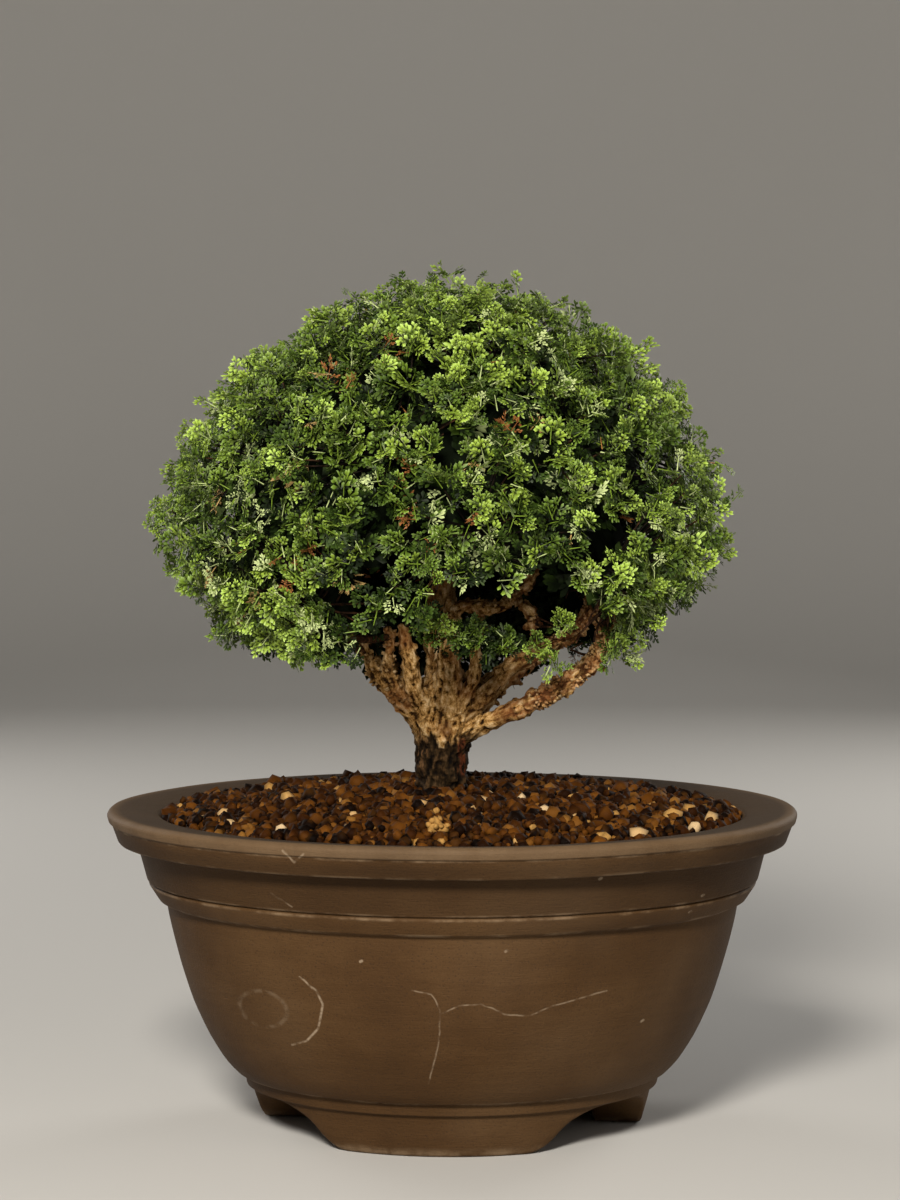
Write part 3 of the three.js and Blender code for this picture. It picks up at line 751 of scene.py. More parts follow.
# A crumbly tan lump: its place, half its width and its tint, and its balls at (x, y, rise, size)
# from its middle.
LUMP_PLACE, LUMP_REACH, LUMP_TINT = (-6.0, -103.0, 1.0), 3.4, 0.950
LUMP_BALLS = [
    (-2.1, 0.2, -0.2, 3.2), (1.9, 0.3, -0.8, 3), (-0.6, 0.4, 2.2, 2.7), (-3.9, -0.6, 1.4, 1.5),
    (-0.8, -2.3, 0.9, 1.5), (1.4, -1.9, 1.3, 1.4), (3.9, -0.6, 0.9, 1.4), (0.9, -0.4, 3.9, 1.3),
    (-2.2, -0.9, 3.1, 1.4), (0.4, -2.2, -1.6, 1.5), (-3.2, -1.9, -1.2, 1.5),
]


def mound(x, y):
    """Height of the gravel: a parabola from the trunk to the wall."""
    return MOUND_TOP - MOUND_FALL * np.minimum(np.hypot(x, y) / MOUND_REACH, 1.0) ** 2


def make_soil_bed():
    """The soil under the granules: rings on the mound, made uneven by waves, side and floor."""
    radii = np.concatenate([np.linspace(0.5, SOIL_RADIUS, BED_RINGS), np.array(BED_SIDE)[:, 0]])
    turns = circle(96)
    x, y = radii[:, None] * np.cos(turns), radii[:, None] * np.sin(turns)
    z = mound(x, y) - BED_DEPTH
    z = z + waves(np.stack([x, y, z], axis=-1), 7.0, 21) * 0.5
    z[BED_RINGS:] = np.array(BED_SIDE)[:, 1:]
    middles = [[0, 0, z[0].mean()], [0, 0, z[-1].mean()]]
    points, quads, caps = closed_rows_of(np.stack([x, y, z], axis=-1), middles, outwards=False)
    return make_piece("soil_bed", points, [quads, caps], fine_soil())


def granule_shape():
    """The twelve corners of an icosahedron, at (0, 1, golden ratio) and its turns, and its faces."""
    golden = (1 + math.sqrt(5)) / 2
    corners = [(0, a, b * golden) for a in (-1, 1) for b in (-1, 1)]
    corners += [(a, b * golden, 0) for a in (-1, 1) for b in (-1, 1)]
    corners += [(b * golden, 0, a) for a in (-1, 1) for b in (-1, 1)]
    corners = np.array(corners, float)
    a, b, c = np.meshgrid(*[np.arange(12)] * 3, indexing="ij")
    apart = np.linalg.norm(corners[:, None] - corners[None], axis=2)
    beside = (apart > 1.9) & (apart < 2.1)
    found = beside[a, b] & beside[b, c] & beside[a, c] & (a < b) & (a < c)
    faces = np.stack([a[found], b[found], c[found]], axis=1)
    at, right, left = (corners[faces[:, k]] for k in range(3))
    outward = (np.cross(right - at, left - at) * at).sum(axis=1)
    return unit(corners), faces[outward > 0]


def random_turns(count, draw):
    """Turns in space, evenly at random: matrices from normal unit quaternions."""
    w, x, y, z = unit(draw.normal(size=(count, 4))).T
    rows = [
        [1 - 2 * (y * y + z * z), 2 * (x * y - z * w), 2 * (x * z + y * w)],
        [2 * (x * y + z * w), 1 - 2 * (x * x + z * z), 2 * (y * z - x * w)],
        [2 * (x * z - y * w), 2 * (y * z + x * w), 1 - 2 * (x * x + y * y)],
    ]
    return np.moveaxis(np.array(rows), 2, 0)


def grid_spots(draw):
    """A triangular grid over the mound, each point shaken by up to 0.42 of the pitch."""
    steps = int(2 * SOIL_RADIUS / GRAVEL_PITCH) + 2
    i, j = np.meshgrid(np.arange(steps), np.arange(int(steps / TRIANGLE_ROWS) + 1), indexing="ij")
    x = (i + 0.5 * (j % 2)) * GRAVEL_PITCH - SOIL_RADIUS
    y = j * GRAVEL_PITCH * TRIANGLE_ROWS - SOIL_RADIUS
    spots = np.stack([x.ravel(), y.ravel()], axis=1)
    return spots + draw.uniform(-0.42, 0.42, spots.shape) * GRAVEL_PITCH


def spread_granules(draw):
    """
    Places, rises, sizes and tints of the granules: those on the grid, the ones that lie on top,
    the noted ones and the balls of the lump, clear of the stem, the wall and each other.
    """
    spots = grid_spots(draw)
    lift = draw.normal(0, 0.55, len(spots))
    turn = draw.uniform(0, 2 * math.pi, EXTRA_GRANULES)
    reach = SOIL_RADIUS * np.sqrt(draw.uniform(0, 0.93, EXTRA_GRANULES))
    spots = np.vstack([spots, np.stack([reach * np.cos(turn), reach * np.sin(turn)], axis=1)])
    lift = np.concatenate([lift, draw.uniform(1.3, 2.8, EXTRA_GRANULES)])
    size = draw.lognormal(math.log(GRANULE_SIZE), 0.27, len(spots))
    size = np.clip(size, LEAST_GRANULE, GREATEST_GRANULE)
    kept = np.hypot(*spots.T) < SOIL_RADIUS - size * 0.8
    kept &= np.hypot(spots[:, 0] - STEM_X, spots[:, 1]) > STEM_RADIUS + size * 0.6
    spots, lift, size = spots[kept], lift[kept], size[kept]
    tint = draw.beta(1.9, 1.7, len(spots)) * 0.93
    pale = draw.uniform(size=len(spots)) < PALE_SHARE
    tint[pale] = draw.uniform(0.93, 0.985, pale.sum())
    tint[draw.uniform(size=len(spots)) < DARK_SHARE] *= 0.2
    noted, balls = np.array(NOTED_GRANULES), np.array(LUMP_BALLS)
    near = np.linalg.norm(spots[:, None] - noted[None, :, :2], axis=2)
    clear = (near > noted[None, :, 2] * 0.8 + size[:, None] * 0.2).all(axis=1)
    from_lump = np.hypot((spots[:, 0] - LUMP_PLACE[0]) / 1.25, spots[:, 1] - LUMP_PLACE[1])
    clear &= from_lump > LUMP_REACH + 0.5 * size
    spots = np.vstack([spots[clear], noted[:, :2], balls[:, :2] + LUMP_PLACE[:2]])
    lift = np.concatenate([lift[clear], noted[:, 2] * 0.22, balls[:, 2] + LUMP_PLACE[2] + 1.3])
    size = np.concatenate([size[clear], noted[:, 2], balls[:, 3]])
    return spots, lift, size, np.concatenate([tint[clear], noted[:, 3], np.full(len(balls), LUMP_TINT)])


def make_gravel():
    """
    Granules on a shaken triangular grid over the mound: each is the 20-faced ball with its
    corners drawn in or out, stretched and turned, and sunk to about half its height.
    """
    draw = np.random.default_rng(31)
    spots, lift, size, tint = spread_granules(draw)
    shape, faces = granule_shape()
    count = len(spots)
    corners = shape[None] * draw.uniform(0.79, 1.21, (count, len(shape), 1))
    corners = corners * draw.uniform(0.78, 1.18, (count, 1, 3)) * size[:, None, None]
    corners = np.einsum("nij,nkj->nki", random_turns(count, draw), corners)
    base = mound(*spots.T) - GRANULE_SINK + lift
    corners += np.stack([*spots.T, base], axis=1)[:, None]
    out = np.hypot(corners[..., 0], corners[..., 1])
    squeeze = np.minimum(1.0, (SOIL_RADIUS + 0.1) / np.maximum(out, 1.0))
    corners[..., :2] *= squeeze[..., None]
    all_faces = (faces[None] + (np.arange(count) * len(shape))[:, None, None]).reshape(-1, 3)
    light = draw.uniform(0.10, 0.95, (count, len(shape)))[:, faces] + np.array([-0.01, -0.01, 0.01])
    card = carded(tint, [-0.25, 0.25, 0.0], light)
    points = corners.reshape(-1, 3)
    return make_piece("gravel", points, [all_faces], gravel_stone(), card, sharp_angle=75)


# ---------------------------------------------------------------- trunk and limbs

# The trunk's route as [x, y, z], its radii along it and its number of rings.
TRUNK_ROUTE = [
    [-4.5, 0, 118], [-4.5, 0, 135], [-4.5, 0, 152], [-4.4, 0, 166], [-3.8, 0, 181], [-2, 1, 199]
]
TRUNK_RADII, TRUNK_RINGS = [11.3, 11.3, 11.1, 11.3, 12.5, 9.0], 60
# The web between the limbs, as (height, middle x, middle y, half width, half depth).
LIMB_WEB = [
    (168, -4.4, 0, 11.3, 11), (174, -4.6, 0, 13.2, 12.2), (180, -4.8, 0.5, 16.6, 13.4),
    (186, -4.6, 1, 20.5, 13.6), (191, -3.2, 1, 22.5, 12.2), (194.5, -2, 1.5, 19, 9),
    (197, -1.5, 2, 12, 5),
]
# name: the radius at the limb's start and end, and its route as [x, y, z].
LIMBS = {
    "low_left": ([4.5, 2], [[-12, -3, 178], [-19.9, -6, 184.6], [-25.6, -8, 191.4], [-31.7, -9, 196.8],
        [-35, -10, 202.5], [-37.4, -10, 208.5], [-40, -9, 216]]),
    "second_left": ([3, 1.6], [[-20, -8, 188], [-26, -11, 195.6], [-28.4, -13, 204.6],
        [-26.8, -14, 213.6], [-29, -14, 221]]),
    "upright_left": ([4.7, 2.5], [[-9, -5, 180], [-14.1, -8, 187], [-17.2, -11, 195.2],
        [-18, -13, 203.7], [-19.8, -14, 212.6], [-21.5, -14, 222.5]]),
    "centre": ([6.6, 3.4], [[-3, -5, 180], [-1.2, -9, 189], [-0.9, -12, 198.4], [-1.8, -13, 208],
        [-0.9, -13, 217.4], [0, -12, 232]]),
    "upright_right": ([3.3, 2], [[3.4, -7, 184.1], [7.8, -13, 194.4], [10.1, -15, 202.9],
        [10.4, -14, 212.9], [13, -12, 228]]),
    "upper_right": ([4.2, 2], [[6.2, -5, 180.8], [16.5, -11, 193], [24, -14, 201.8], [33.3, -16, 207.7],
        [42.1, -18, 211.9], [52.1, -18, 218.5], [58.6, -18, 225.1], [61.3, -18, 234.1]]),
    "long_right": ([4.6, 2.5], [[2.9, -4, 171.5], [8.9, -7, 175], [14.2, -11, 178.4],
        [19.5, -15, 180.9], [27.7, -18, 184.7], [36, -21, 189], [44.2, -23, 193.8], [52.9, -24, 199.6],
        [60.5, -24, 205.7], [65.7, -23, 212.6], [67, -22, 219.8], [63, -21, 232.4]]),
    "cross": ([3, 1.7], [[-1, -13, 226.5], [6.6, -16, 230.6], [14.5, -17, 230], [23.2, -18, 231.3],
        [27.5, -19, 234.5]]),
    "rusty_up": ([1.25, 0.8], [[26, -20, 234], [30, -20, 236.5], [34.5, -20, 242], [36.4, -18, 249]]),
    "rusty_down": ([1.2, 0.9], [[26, -21, 235], [29.5, -24, 232.5], [33.2, -27, 229],
        [35.6, -29, 224.5], [35.4, -30, 219]]),
    "back_left": ([6.6, 3.9], [[-8, 5, 178], [-20, 18, 192], [-36, 30, 206], [-48, 38, 222]]),
    "back": ([6.8, 3.9], [[-2, 7, 180], [-4, 24, 196], [-6, 44, 209], [-10, 60, 225]]),
    "back_right": ([6.6, 3.9], [[4, 5, 178], [18, 18, 192], [35, 32, 204], [50, 42, 219]]),
    "leader": ([8, 4], [[-2, 2, 182], [-5, 5, 214], [-4, 2, 248], [-6, 0, 282]]),
}
# Limbs set with many stout stubs.
KNOBBY_LIMBS = ("upper_right", "long_right", "cross", "rusty_up", "rusty_down")
# How many beads of old scales stand on a limb, and from which share of its length.
BEADED_LIMBS = {
    "upper_right": (190, 0.52),
    "long_right": (430, 0.42),
    "rusty_up": (60, 0),
    "rusty_down": (80, 0),
    "cross": (30, 0),
    "low_left": (60, 0.3),
    "second_left": (60, 0.2),
}
# The distance between a limb's rings, the grain size of the melted skin and that of its furrows.
LIMB_STEP, BARK_VOXEL, FURROW_PITCH = 1.6, 0.86, 4.2
# In the bark's grain: the share of the distance along a limb, and how far the limbs are set apart.
GRAIN_SHARE, LIMB_SHIFT = 0.36, 37.0
# Branches and twigs: their radii at start and end, and how far a branch hangs, by its length.
BRANCH_RADII, BRANCH_SAG, BRANCH_RINGS, TWIG_RADII = [3.4, 1.7], 0.1, 14, [0.85, 0.35]


def smooth_route(points, count):
    """
    Even points along a Catmull-Rom curve through the given ones: between p1 and p2, the cubic
    with slopes (p2 - p0) / 2 and (p3 - p1) / 2.
    """
    known = np.asarray(points, float)
    padded = np.vstack([2 * known[0] - known[1], known, 2 * known[-1] - known[-2]])
    share = np.linspace(0, 1, 24, endpoint=False)[None, :, None]
    p0, p1, p2, p3 = (padded[k : len(padded) - 3 + k, None] for k in range(4))
    bends = 0.5 * (
        2 * p1
        + (p2 - p0) * share
        + (2 * p0 - 5 * p1 + 4 * p2 - p3) * share**2
        + (3 * p1 - p0 - 3 * p2 + p3) * share**3
    )
    bends = np.vstack([bends.reshape(-1, known.shape[1]), known[-1:]])
    lengths = np.concatenate([[0], np.cumsum(np.linalg.norm(np.diff(bends, axis=0), axis=1))])
    even = np.linspace(0, lengths[-1], count)
    return np.stack([np.interp(even, lengths, column) for column in bends.T], axis=1)


def frames_along(path):
    """Tangents of a path, and two directions square to them that turn as little as they can."""
    tangents = unit(np.gradient(path, axis=0))
    helper = np.array([0.0, -1.0, 0.0]) if abs(tangents[0, 1]) < 0.9 else np.array([1.0, 0, 0])
    first = unit(np.cross(np.cross(tangents, helper), tangents))
    return tangents, first, np.cross(tangents, first)


def tube(path, radii, sides, relief=0.0, seed=0):
    """
    A closed limb: rings of the given radii, square to the path, with soft noise in the radius,
    and a middle point to close each end.
    """
    _, first, second = frames_along(path)
    turns = circle(sides)[None, :, None]
    out = first[:, None] * np.cos(turns) + second[:, None] * np.sin(turns)
    reach = np.broadcast_to(np.asarray(radii)[:, None], (len(path), sides))
    around = path[:, None] + out * reach[..., None]
    if relief:
        around = around + out * (reach * relief * waves(around, 9.0, seed))[..., None]
    return closed_rows_of(around, path[[0, -1]])


def joined(parts):
    """Points, quads and triangles of several closed shapes as one set."""
    starts = np.cumsum([0] + [len(part[0]) for part in parts])
    quads, caps = (
        np.vstack([part[k] + start for part, start in zip(parts, starts)]) for k in (1, 2)
    )
    return np.vstack([part[0] for part in parts]), quads, caps


def web_of_limbs():
    """The web: an oval carried up from level to level, closed at both ends."""
    levels, turns = smooth_route(LIMB_WEB, 26), circle(28)
    x = levels[:, 1:2] + levels[:, 3:4] * np.cos(turns)
    y = levels[:, 2:3] + levels[:, 4:5] * np.sin(turns)
    rows = np.stack([x, y, levels[:, :1] + 0 * x], axis=-1)
    return closed_rows_of(rows, levels[[0, -1]][:, [1, 2, 0]])


def limb_paths():
    """
    Every limb's even path and the radius at each of its points, the trunk first. The trunk's
    radii are a curve too, over steps of 16 mm; the other limbs narrow evenly.
    """
    levels = np.stack([np.arange(6.0) * 16, TRUNK_RADII], axis=1)
    paths = [(smooth_route(TRUNK_ROUTE, TRUNK_RINGS), smooth_route(levels, TRUNK_RINGS)[:, 1])]
    for (start, end), route in LIMBS.values():
        length = np.linalg.norm(np.diff(np.array(route, float), axis=0), axis=1).sum()
        count = int(length / LIMB_STEP) + 2
        paths.append((smooth_route(route, count), np.linspace(start, end, count)))
    return paths


def fused(points, quads, caps, voxel):
    """The shapes melted into one skin, as arrays, by a voxel remesh."""
    rough = make_piece("limbs_before_melting", points, [quads, caps], None)
    remesh = rough.modifiers.new("melt", "REMESH")
    remesh.mode = "VOXEL"
    remesh.voxel_size = voxel * MM
    evaluated = rough.evaluated_get(bpy.context.evaluated_depsgraph_get())
    skin = evaluated.to_mesh()
    melted = np.empty(len(skin.vertices) * 3, np.float32)
    skin.vertices.foreach_get("co", melted)
    corners = np.empty(len(skin.loops), np.int32)
    skin.loops.foreach_get("vertex_index", corners)
    starts = np.empty(len(skin.polygons), np.int32)
    skin.polygons.foreach_get("loop_start", starts)
    sizes = np.diff(np.append(starts, len(corners)))
    four = starts[sizes == 4][:, None] + np.arange(4)
    three = starts[sizes == 3][:, None] + np.arange(3)
    evaluated.to_mesh_clear()
    bpy.data.objects.remove(rough)
    faces = [part for part in (corners[four], corners[three]) if len(part)]
    return melted.reshape(-1, 3) / MM, faces


def point_normals(points, faces):
    """Normals of the points: the mean of the normals of the faces around each."""
    total = np.zeros_like(points)
    for part in faces:
        a, b, c = points[part[:, 0]], points[part[:, 1]], points[part[:, 2]]
        normal = np.cross(b - a, c - a)
        for column in part.T:
            np.add.at(total, column, normal)
    return unit(total)


def bark_grain(points, paths):
    """
    For each point, its place beside the nearest limb, with the limb stood upright: the two
    distances across it and a share of the distance along it. Also the limb's radius there.
    """
    samples = np.vstack([path[::2] for path, _ in paths])
    framed = [frames_along(path) for path, _ in paths]
    tangents, first, second = (np.vstack([frame[k][::2] for frame in framed]) for k in range(3))
    along = [
        np.linspace(0, LIMB_STEP * (len(path) - 1), len(path))[::2] + LIMB_SHIFT * number
        for number, (path, _) in enumerate(paths)
    ]
    along = np.concatenate(along)
    widths = np.concatenate([radii[::2] for _, radii in paths])
    nearest = np.empty(len(points), int)
    for low in range(0, len(points), 4000):
        part = points[low : low + 4000]
        gap = np.linalg.norm(part[:, None] - samples[None], axis=2) - widths[None]
        nearest[low : low + 4000] = gap.argmin(axis=1)
    away = points - samples[nearest]
    across, up, rise = ((away * ways[nearest]).sum(axis=1) for ways in (first, second, tangents))
    return np.stack([across, up, (rise + along[nearest]) * GRAIN_SHARE], axis=1), widths[nearest]


def knobs(paths, draw):
    """
    Stubs of old twigs, short tapered tubes that lean out of the limbs: many and stout on the
    knobby limbs, fewer on the others.
    """
    parts = []
    for name, (path, radii) in zip(LIMBS, paths[1:]):
        knobby = name in KNOBBY_LIMBS
        for_each, lowest, widths = (1.9, 0.22, (1.2, 1.9)) if knobby else (0.5, 0.12, (0.8, 1.4))
        tangents, first, second = frames_along(path)
        for _ in range(int(len(path) * for_each)):
            share = draw.uniform(lowest, 1.0) ** 0.8
            at = min(int(share * len(path)), len(path) - 1)
            turn = draw.uniform(0, 2 * math.pi)
            out = first[at] * math.cos(turn) + second[at] * math.sin(turn)
            lean = unit(out + tangents[at] * draw.uniform(0.1, 1.0))
            long = draw.uniform(0.9, 1.8) if draw.uniform() < 0.93 else draw.uniform(2.5, 5.0)
            root = path[at] + out * radii[at] * 0.7
            line = root + lean * np.linspace(0, radii[at] * 0.3 + long, 4)[:, None]
            parts.append(tube(line, draw.uniform(*widths) * np.array([1.0, 1.1, 1.1, 0.8]), 6))
    return parts


def beads(paths, draw):
    """
    Beads left by shed scales: six-cornered balls, longer than wide, that lean out of the limbs.
    Returns points, triangles and the number of points of one bead.
    """
    places, leans = [], []
    for name, (path, radii) in zip(LIMBS, paths[1:]):
        count, start = BEADED_LIMBS.get(name, (0, 0.0))
        at = (draw.uniform(start, 1.0, count) * (len(path) - 1)).astype(int)
        tangents, first, second = frames_along(path)
        turn = draw.uniform(0, 2 * math.pi, count)[:, None]
        out = first[at] * np.cos(turn) + second[at] * np.sin(turn)
        places.append(path[at] + out * (radii[at][:, None] + draw.uniform(0.2, 1.1, (count, 1))))
        leans.append(unit(out + tangents[at] * draw.uniform(-0.2, 1.2, (count, 1))))
    places, leans = np.vstack(places), np.vstack(leans)
    side = unit(np.cross(leans, draw.normal(size=leans.shape)))
    other = np.cross(leans, side)
    wide = draw.uniform(0.7, 1.15, (len(places), 1))
    long = wide * draw.uniform(1.1, 1.7, (len(places), 1))
    arms = [side * wide, other * wide, -side * wide, -other * wide, leans * long, -leans * long]
    ring, following = np.arange(4), (np.arange(4) + 1) % 4
    tops = np.stack([ring, following, np.full(4, 4)], axis=1)
    ends = np.stack([following, ring, np.full(4, 5)], axis=1)
    points = places[:, None] + np.stack(arms, axis=1)
    faces = np.vstack([tops, ends])[None] + (len(arms) * np.arange(len(places)))[:, None, None]
    return points.reshape(-1, 3), faces.reshape(-1, 3), len(arms)


def make_trunk(paths):
    """
    Trunk and limbs with their stubs, melted into one skin, then pushed in and out along its
    normals: furrows |sin| of a wavering turn round the limb, soft lumps and small flakes. The
    skin stores its grain, in metres, and its ridge, 0 in a furrow and 1 on top, as attributes.
    """
    draw = np.random.default_rng(41)
    parts = [tube(path, radii, 20, 0.10, 50 + k) for k, (path, radii) in enumerate(paths)]
    parts.append(web_of_limbs())
    parts += knobs(paths, draw)
    points, faces = fused(*joined(parts), BARK_VOXEL)
    normals = point_normals(points, faces)
    grain, widths = bark_grain(points, paths)
    waver = waves(grain * [1, 1, 6], 11.0, 61) * 1.2
    turn = np.arctan2(grain[:, 1], grain[:, 0])
    ridges = np.round(widths * 2 * math.pi / FURROW_PITCH)
    furrows = np.abs(np.sin(turn * ridges / 2 + waver))
    depth = 0.46 * (furrows**0.7 - 0.6)
    depth += 0.34 * waves(points, 6.5, 62) + 0.36 * waves(grain * [1, 1, 1.4], 3.1, 63)
    depth += 0.30 * waves(grain * [1, 1, 2.0], 2.0, 64) + 0.16 * waves(points, 2.2, 65)
    fine = smooth_step(widths, 2.0, 8.0) * 0.6 + 0.4
    points = points + normals * (depth * fine)[:, None]
    bead_points, bead_faces, corners_each = beads(paths, draw)
    bead_ridge = np.repeat(draw.uniform(0.50, 1.0, len(bead_points) // corners_each), corners_each)
    faces = [*faces, bead_faces + len(points)]
    points = np.vstack([points, bead_points])
    grain = np.vstack([grain, bark_grain(bead_points, paths)[0]])
    ridge = np.concatenate([np.clip(0.5 + 0.62 * depth, 0, 1), bead_ridge])
    piece = make_piece("bark_of_trunk_and_limbs", points, faces, bark())
    store = piece.data.attributes.new("grain", "FLOAT_VECTOR", "POINT")
    store.data.foreach_set("vector", (grain * MM).astype(np.float32).ravel())
    store = piece.data.attributes.new("ridge", "FLOAT", "POINT")
    store.data.foreach_set("value", ridge.astype(np.float32))
    return piece


# ---------------------------------------------------------------- crown

# The crown: its middle, its half width and height, the share by which it is drawn in at the
# given angle below its middle, and the depth of the heads' hubs as a share of its reach.
CROWN_CENTRE = np.array([-5.0, 0.0, 256.0])
CROWN_RADIUS, CROWN_RISE = 128.0, 121.0
CROWN_UNDERCUT, UNDERCUT_ANGLE = 0.26, 33.0
HEAD_DEPTH = 0.75
# Directions of the heads: the lowest as (turn, rise) in degrees, the rings over them as
# (number, rise, turn of the first), and one straight up.
LOWER_HEADS = [[-172, -8], [-127, -14], [-82, 6], [-38, -5], [8, -11], [52, -12], [98, -9], [143, -13]]
UPPER_RINGS = [(7, 29, -102), (4, 60, -64)]

# Tufts: their number before the lower edge is cut, the fans of each, and the outer ones' radius,
# the share of them that is sunk, and how far.
OUTER_TUFTS, INNER_TUFTS, FANS_OUTER, FANS_INNER, FANS_SMALL = 880, 120, 6, 8, 8
TUFT_RADIUS, LEAST_TUFT, GREATEST_TUFT, SUNK_SHARE, SUNK_DEPTH = 8.4, 6.5, 12, 0.20, 0.060
# The outer tufts' tint in the middle, and what it gains or loses by patches, when sunk (painted
# shade), on fresh and on shaded places and by chance.
MEAN_TINT, PATCH_TINT, SUNK_SHADE_TINT, FRESH_TINT, SHADY_TINT, STRAY_TINT = 0.665, 0.09, 0.34, 0.16, 0.22, 0.11
# The near-black tints of the inner tufts and of those behind the limbs: painted shade.
INNER_SHADE_TINT, BACK_SHADE_TINT = 0.03, 0.02
# From how far from the middle a fan belongs to the outline, and its least tint.
EDGE_REACH, EDGE_TINT = 100, 0.24
# Of a tuft's fans: how they lean away from its axis from the tip inwards, in degrees, where they
# start as shares of its radius, how far they stray, how much darker the last is, and the shares
# of spent and of pale ones.
FAN_LEAN, FAN_LEAN_MORE, FAN_DEPTH, FAN_DEPTH_MORE, FAN_STRAY = 36, 44, 0.44, 0.90, 0.26
FAN_SHADE, SPENT_SHARE, PALE_SHARE_OF_FANS = 0.60, 0.008, 0.085
# The golden turn is this share of half a turn.
GOLDEN_SHARE = 3 - math.sqrt(5)
# The near-black core of a head, painted shade in its middle: rows and columns, half its width
# (less in low heads), half its thickness, its place as a share of the crown's reach, and its
# place on the card, in cells.
CORE_GRID, CORE_SPREAD, CORE_SPREAD_LOW, CORE_THICKNESS = (10, 18), 37.0, 31.0, 17.0
CORE_PLACE, CORE_CELL = 0.60, 1.0
# The lower edge of the leaves, as (turn about the trunk, rise), in degrees.
LOWER_EDGE = [
    (-180, -32), (-165, -30), (-150, -27), (-125, -27), (-112, -24), (-106, -17), (-98, -14),
    (-92, -11), (-88, -4), (-80, -3), (-65, -3), (-58, -5), (-53, -14), (-47, -27), (-40, -32),
    (180, -32),
]
# Small tufts in front of the limbs, as (x, y, z, radius, tint).
FRONT_TUFTS = [
    (-13, -74, 227, 7.5, 0.86), (-6, -68, 224, 7, 0.62), (-1.5, -66, 222, 7.5, 0.46),
    (5.5, -68, 219.5, 7.5, 0.4), (10, -66, 223, 6.5, 0.56), (13.5, -68, 217, 7.5, 0.42),
    (20, -67, 221, 6.5, 0.5), (22.5, -66, 217, 7, 0.46), (36.5, -66, 216.5, 5.2, 0.88),
    (40.5, -62, 208.5, 5.6, 0.84), (46.5, -68, 225.5, 6, 0.87),
]
# Shaded tufts behind the limbs, as (x, y, z, radius).
BACK_TUFTS = [
    (-40, 20, 214, 13), (-27, 26, 208, 13), (-14, 30, 205, 13), (0, 32, 204, 13), (14, 30, 205, 13),
    (28, 26, 209, 13), (41, 22, 214, 13), (54, 18, 221, 13), (-6, 26, 222, 14), (20, 24, 224, 14),
    (-30, 24, 226, 14), (44, 20, 230, 14), (-19, 28, 200, 12), (-3, 32, 198, 12), (11, 32, 198, 12),
    (24, 28, 202, 12), (-34, 36, 209, 13), (-22, 38, 207, 13), (-11, 40, 206, 13), (3, 40, 206, 13),
    (16, 38, 207, 13), (-16, 42, 218, 14), (10, 42, 218, 14),
]
# How full the crown is, by the angle about its middle in the plane of its front, in degrees.
FULLNESS = [
    (-90, 1), (-62, 0.97), (-45, 0.9), (-35, 0.93), (-28, 0.95), (-22, 0.9), (-15, 0.89), (-8, 0.96),
    (0, 0.99), (6, 1.015), (30, 1.01), (48, 0.99), (58, 0.945), (66, 0.98), (90, 0.99), (104, 0.98),
    (113, 0.95), (128, 0.95), (137, 0.975), (146, 0.975), (153, 0.955), (162, 0.98), (175, 1.01),
    (186, 0.95), (194, 0.9), (200, 0.95), (207, 0.88), (213, 0.85), (222, 0.86), (240, 0.93), (270, 1),
]
# Openings into the shade, as (x, z, radius) on the front.
SHADE_OPENINGS = [
    (-1.6, 308, 6), (-1, 297, 5.5), (19.7, 284.2, 5), (49.9, 316.7, 5), (-35.7, 247.3, 6),
    (-31, 270, 4.5), (44.5, 238, 8), (30, 243, 6), (-50, 240, 5), (60, 268, 5), (-60, 300, 5),
    (78, 290, 5),
]
# The window over the limbs, as the eye sees it from the front: (x, z) on the plane of the axis.
LIMB_WINDOW = [
    (-39.4, 180), (-39.4, 214.3), (-35.4, 217.8), (-18.6, 219.6), (-5.3, 231.1), (0, 237.3),
    (21.2, 239.5), (47.7, 238.6), (65.4, 233.8), (68.1, 227.5), (68.2, 180),
]
EYE_AWAY, EYE_HEIGHT = 1700.0, 330.0
# Spent sprays, as (x, z) on the front, and patches of fresh and of shaded green, as
# (x, z, radius).
RUST_PLACES = [
    (26, 310.6), (-73.4, 248.5), (-62.7, 255), (-21.3, 270), (-46.8, 333.3), (-19.3, 292.3),
    (-23.9, 345.9),
]
FRESH_PLACES = [
    (-95, 247, 16), (-66, 249, 12), (-69, 224, 16), (70, 250, 16), (92, 262, 16), (0, 345, 26),
    (28, 330, 14), (-60, 320, 14), (60, 286, 14), (80, 222, 12),
]
SHADY_PLACES = [
    (-20, 256, 16), (10, 250, 18), (36, 256, 14), (-40, 262, 12), (-50, 225, 14), (-30, 232, 14),
]
# A fan's sprigs, one column each: share of its axis, turn from it, stalk and length as shares.
FINE_FAN = np.array(
    [
        [0.08, 0.26, 0.42, 0.56, 0.50],
        [58, -54, 46, -40, 0],
        [0.12, 0.14, 0.12, 0.10, 0.0],
        [0.55, 0.57, 0.53, 0.49, 0.58],
    ]
)
PLAIN_FAN = np.array(
    [
        [0.12, 0.26, 0.40, 0.52, 0.64, 0.74, 0.70],
        [66, -62, 55, -50, 43, -38, 0],
        [0.16, 0.18, 0.17, 0.15, 0.12, 0.10, 0.0],
        [0.36, 0.38, 0.38, 0.36, 0.34, 0.33, 0.36],
    ]
)
# Lobes of a sprig, one column each: root along its axis, turn, length, half width and the
# share of the length where it is widest.
FINE_LOBES = np.array(
    [
        [0.06, 0.22, 0.40, 0.56, 0.0],
        [54, -52, 46, -42, 0],
        [0.54, 0.54, 0.50, 0.44, 1.0],
        [0.126, 0.130, 0.126, 0.120, 0.100],
        [0.70, 0.70, 0.70, 0.70, 0.86],
    ]
)
PLAIN_LOBES = np.array(
    [[0, 0.1, 0.1], [0, 50, -50], [1.0, 0.80, 0.80], [0.24, 0.22, 0.22], [0.66, 0.66, 0.66]]
)
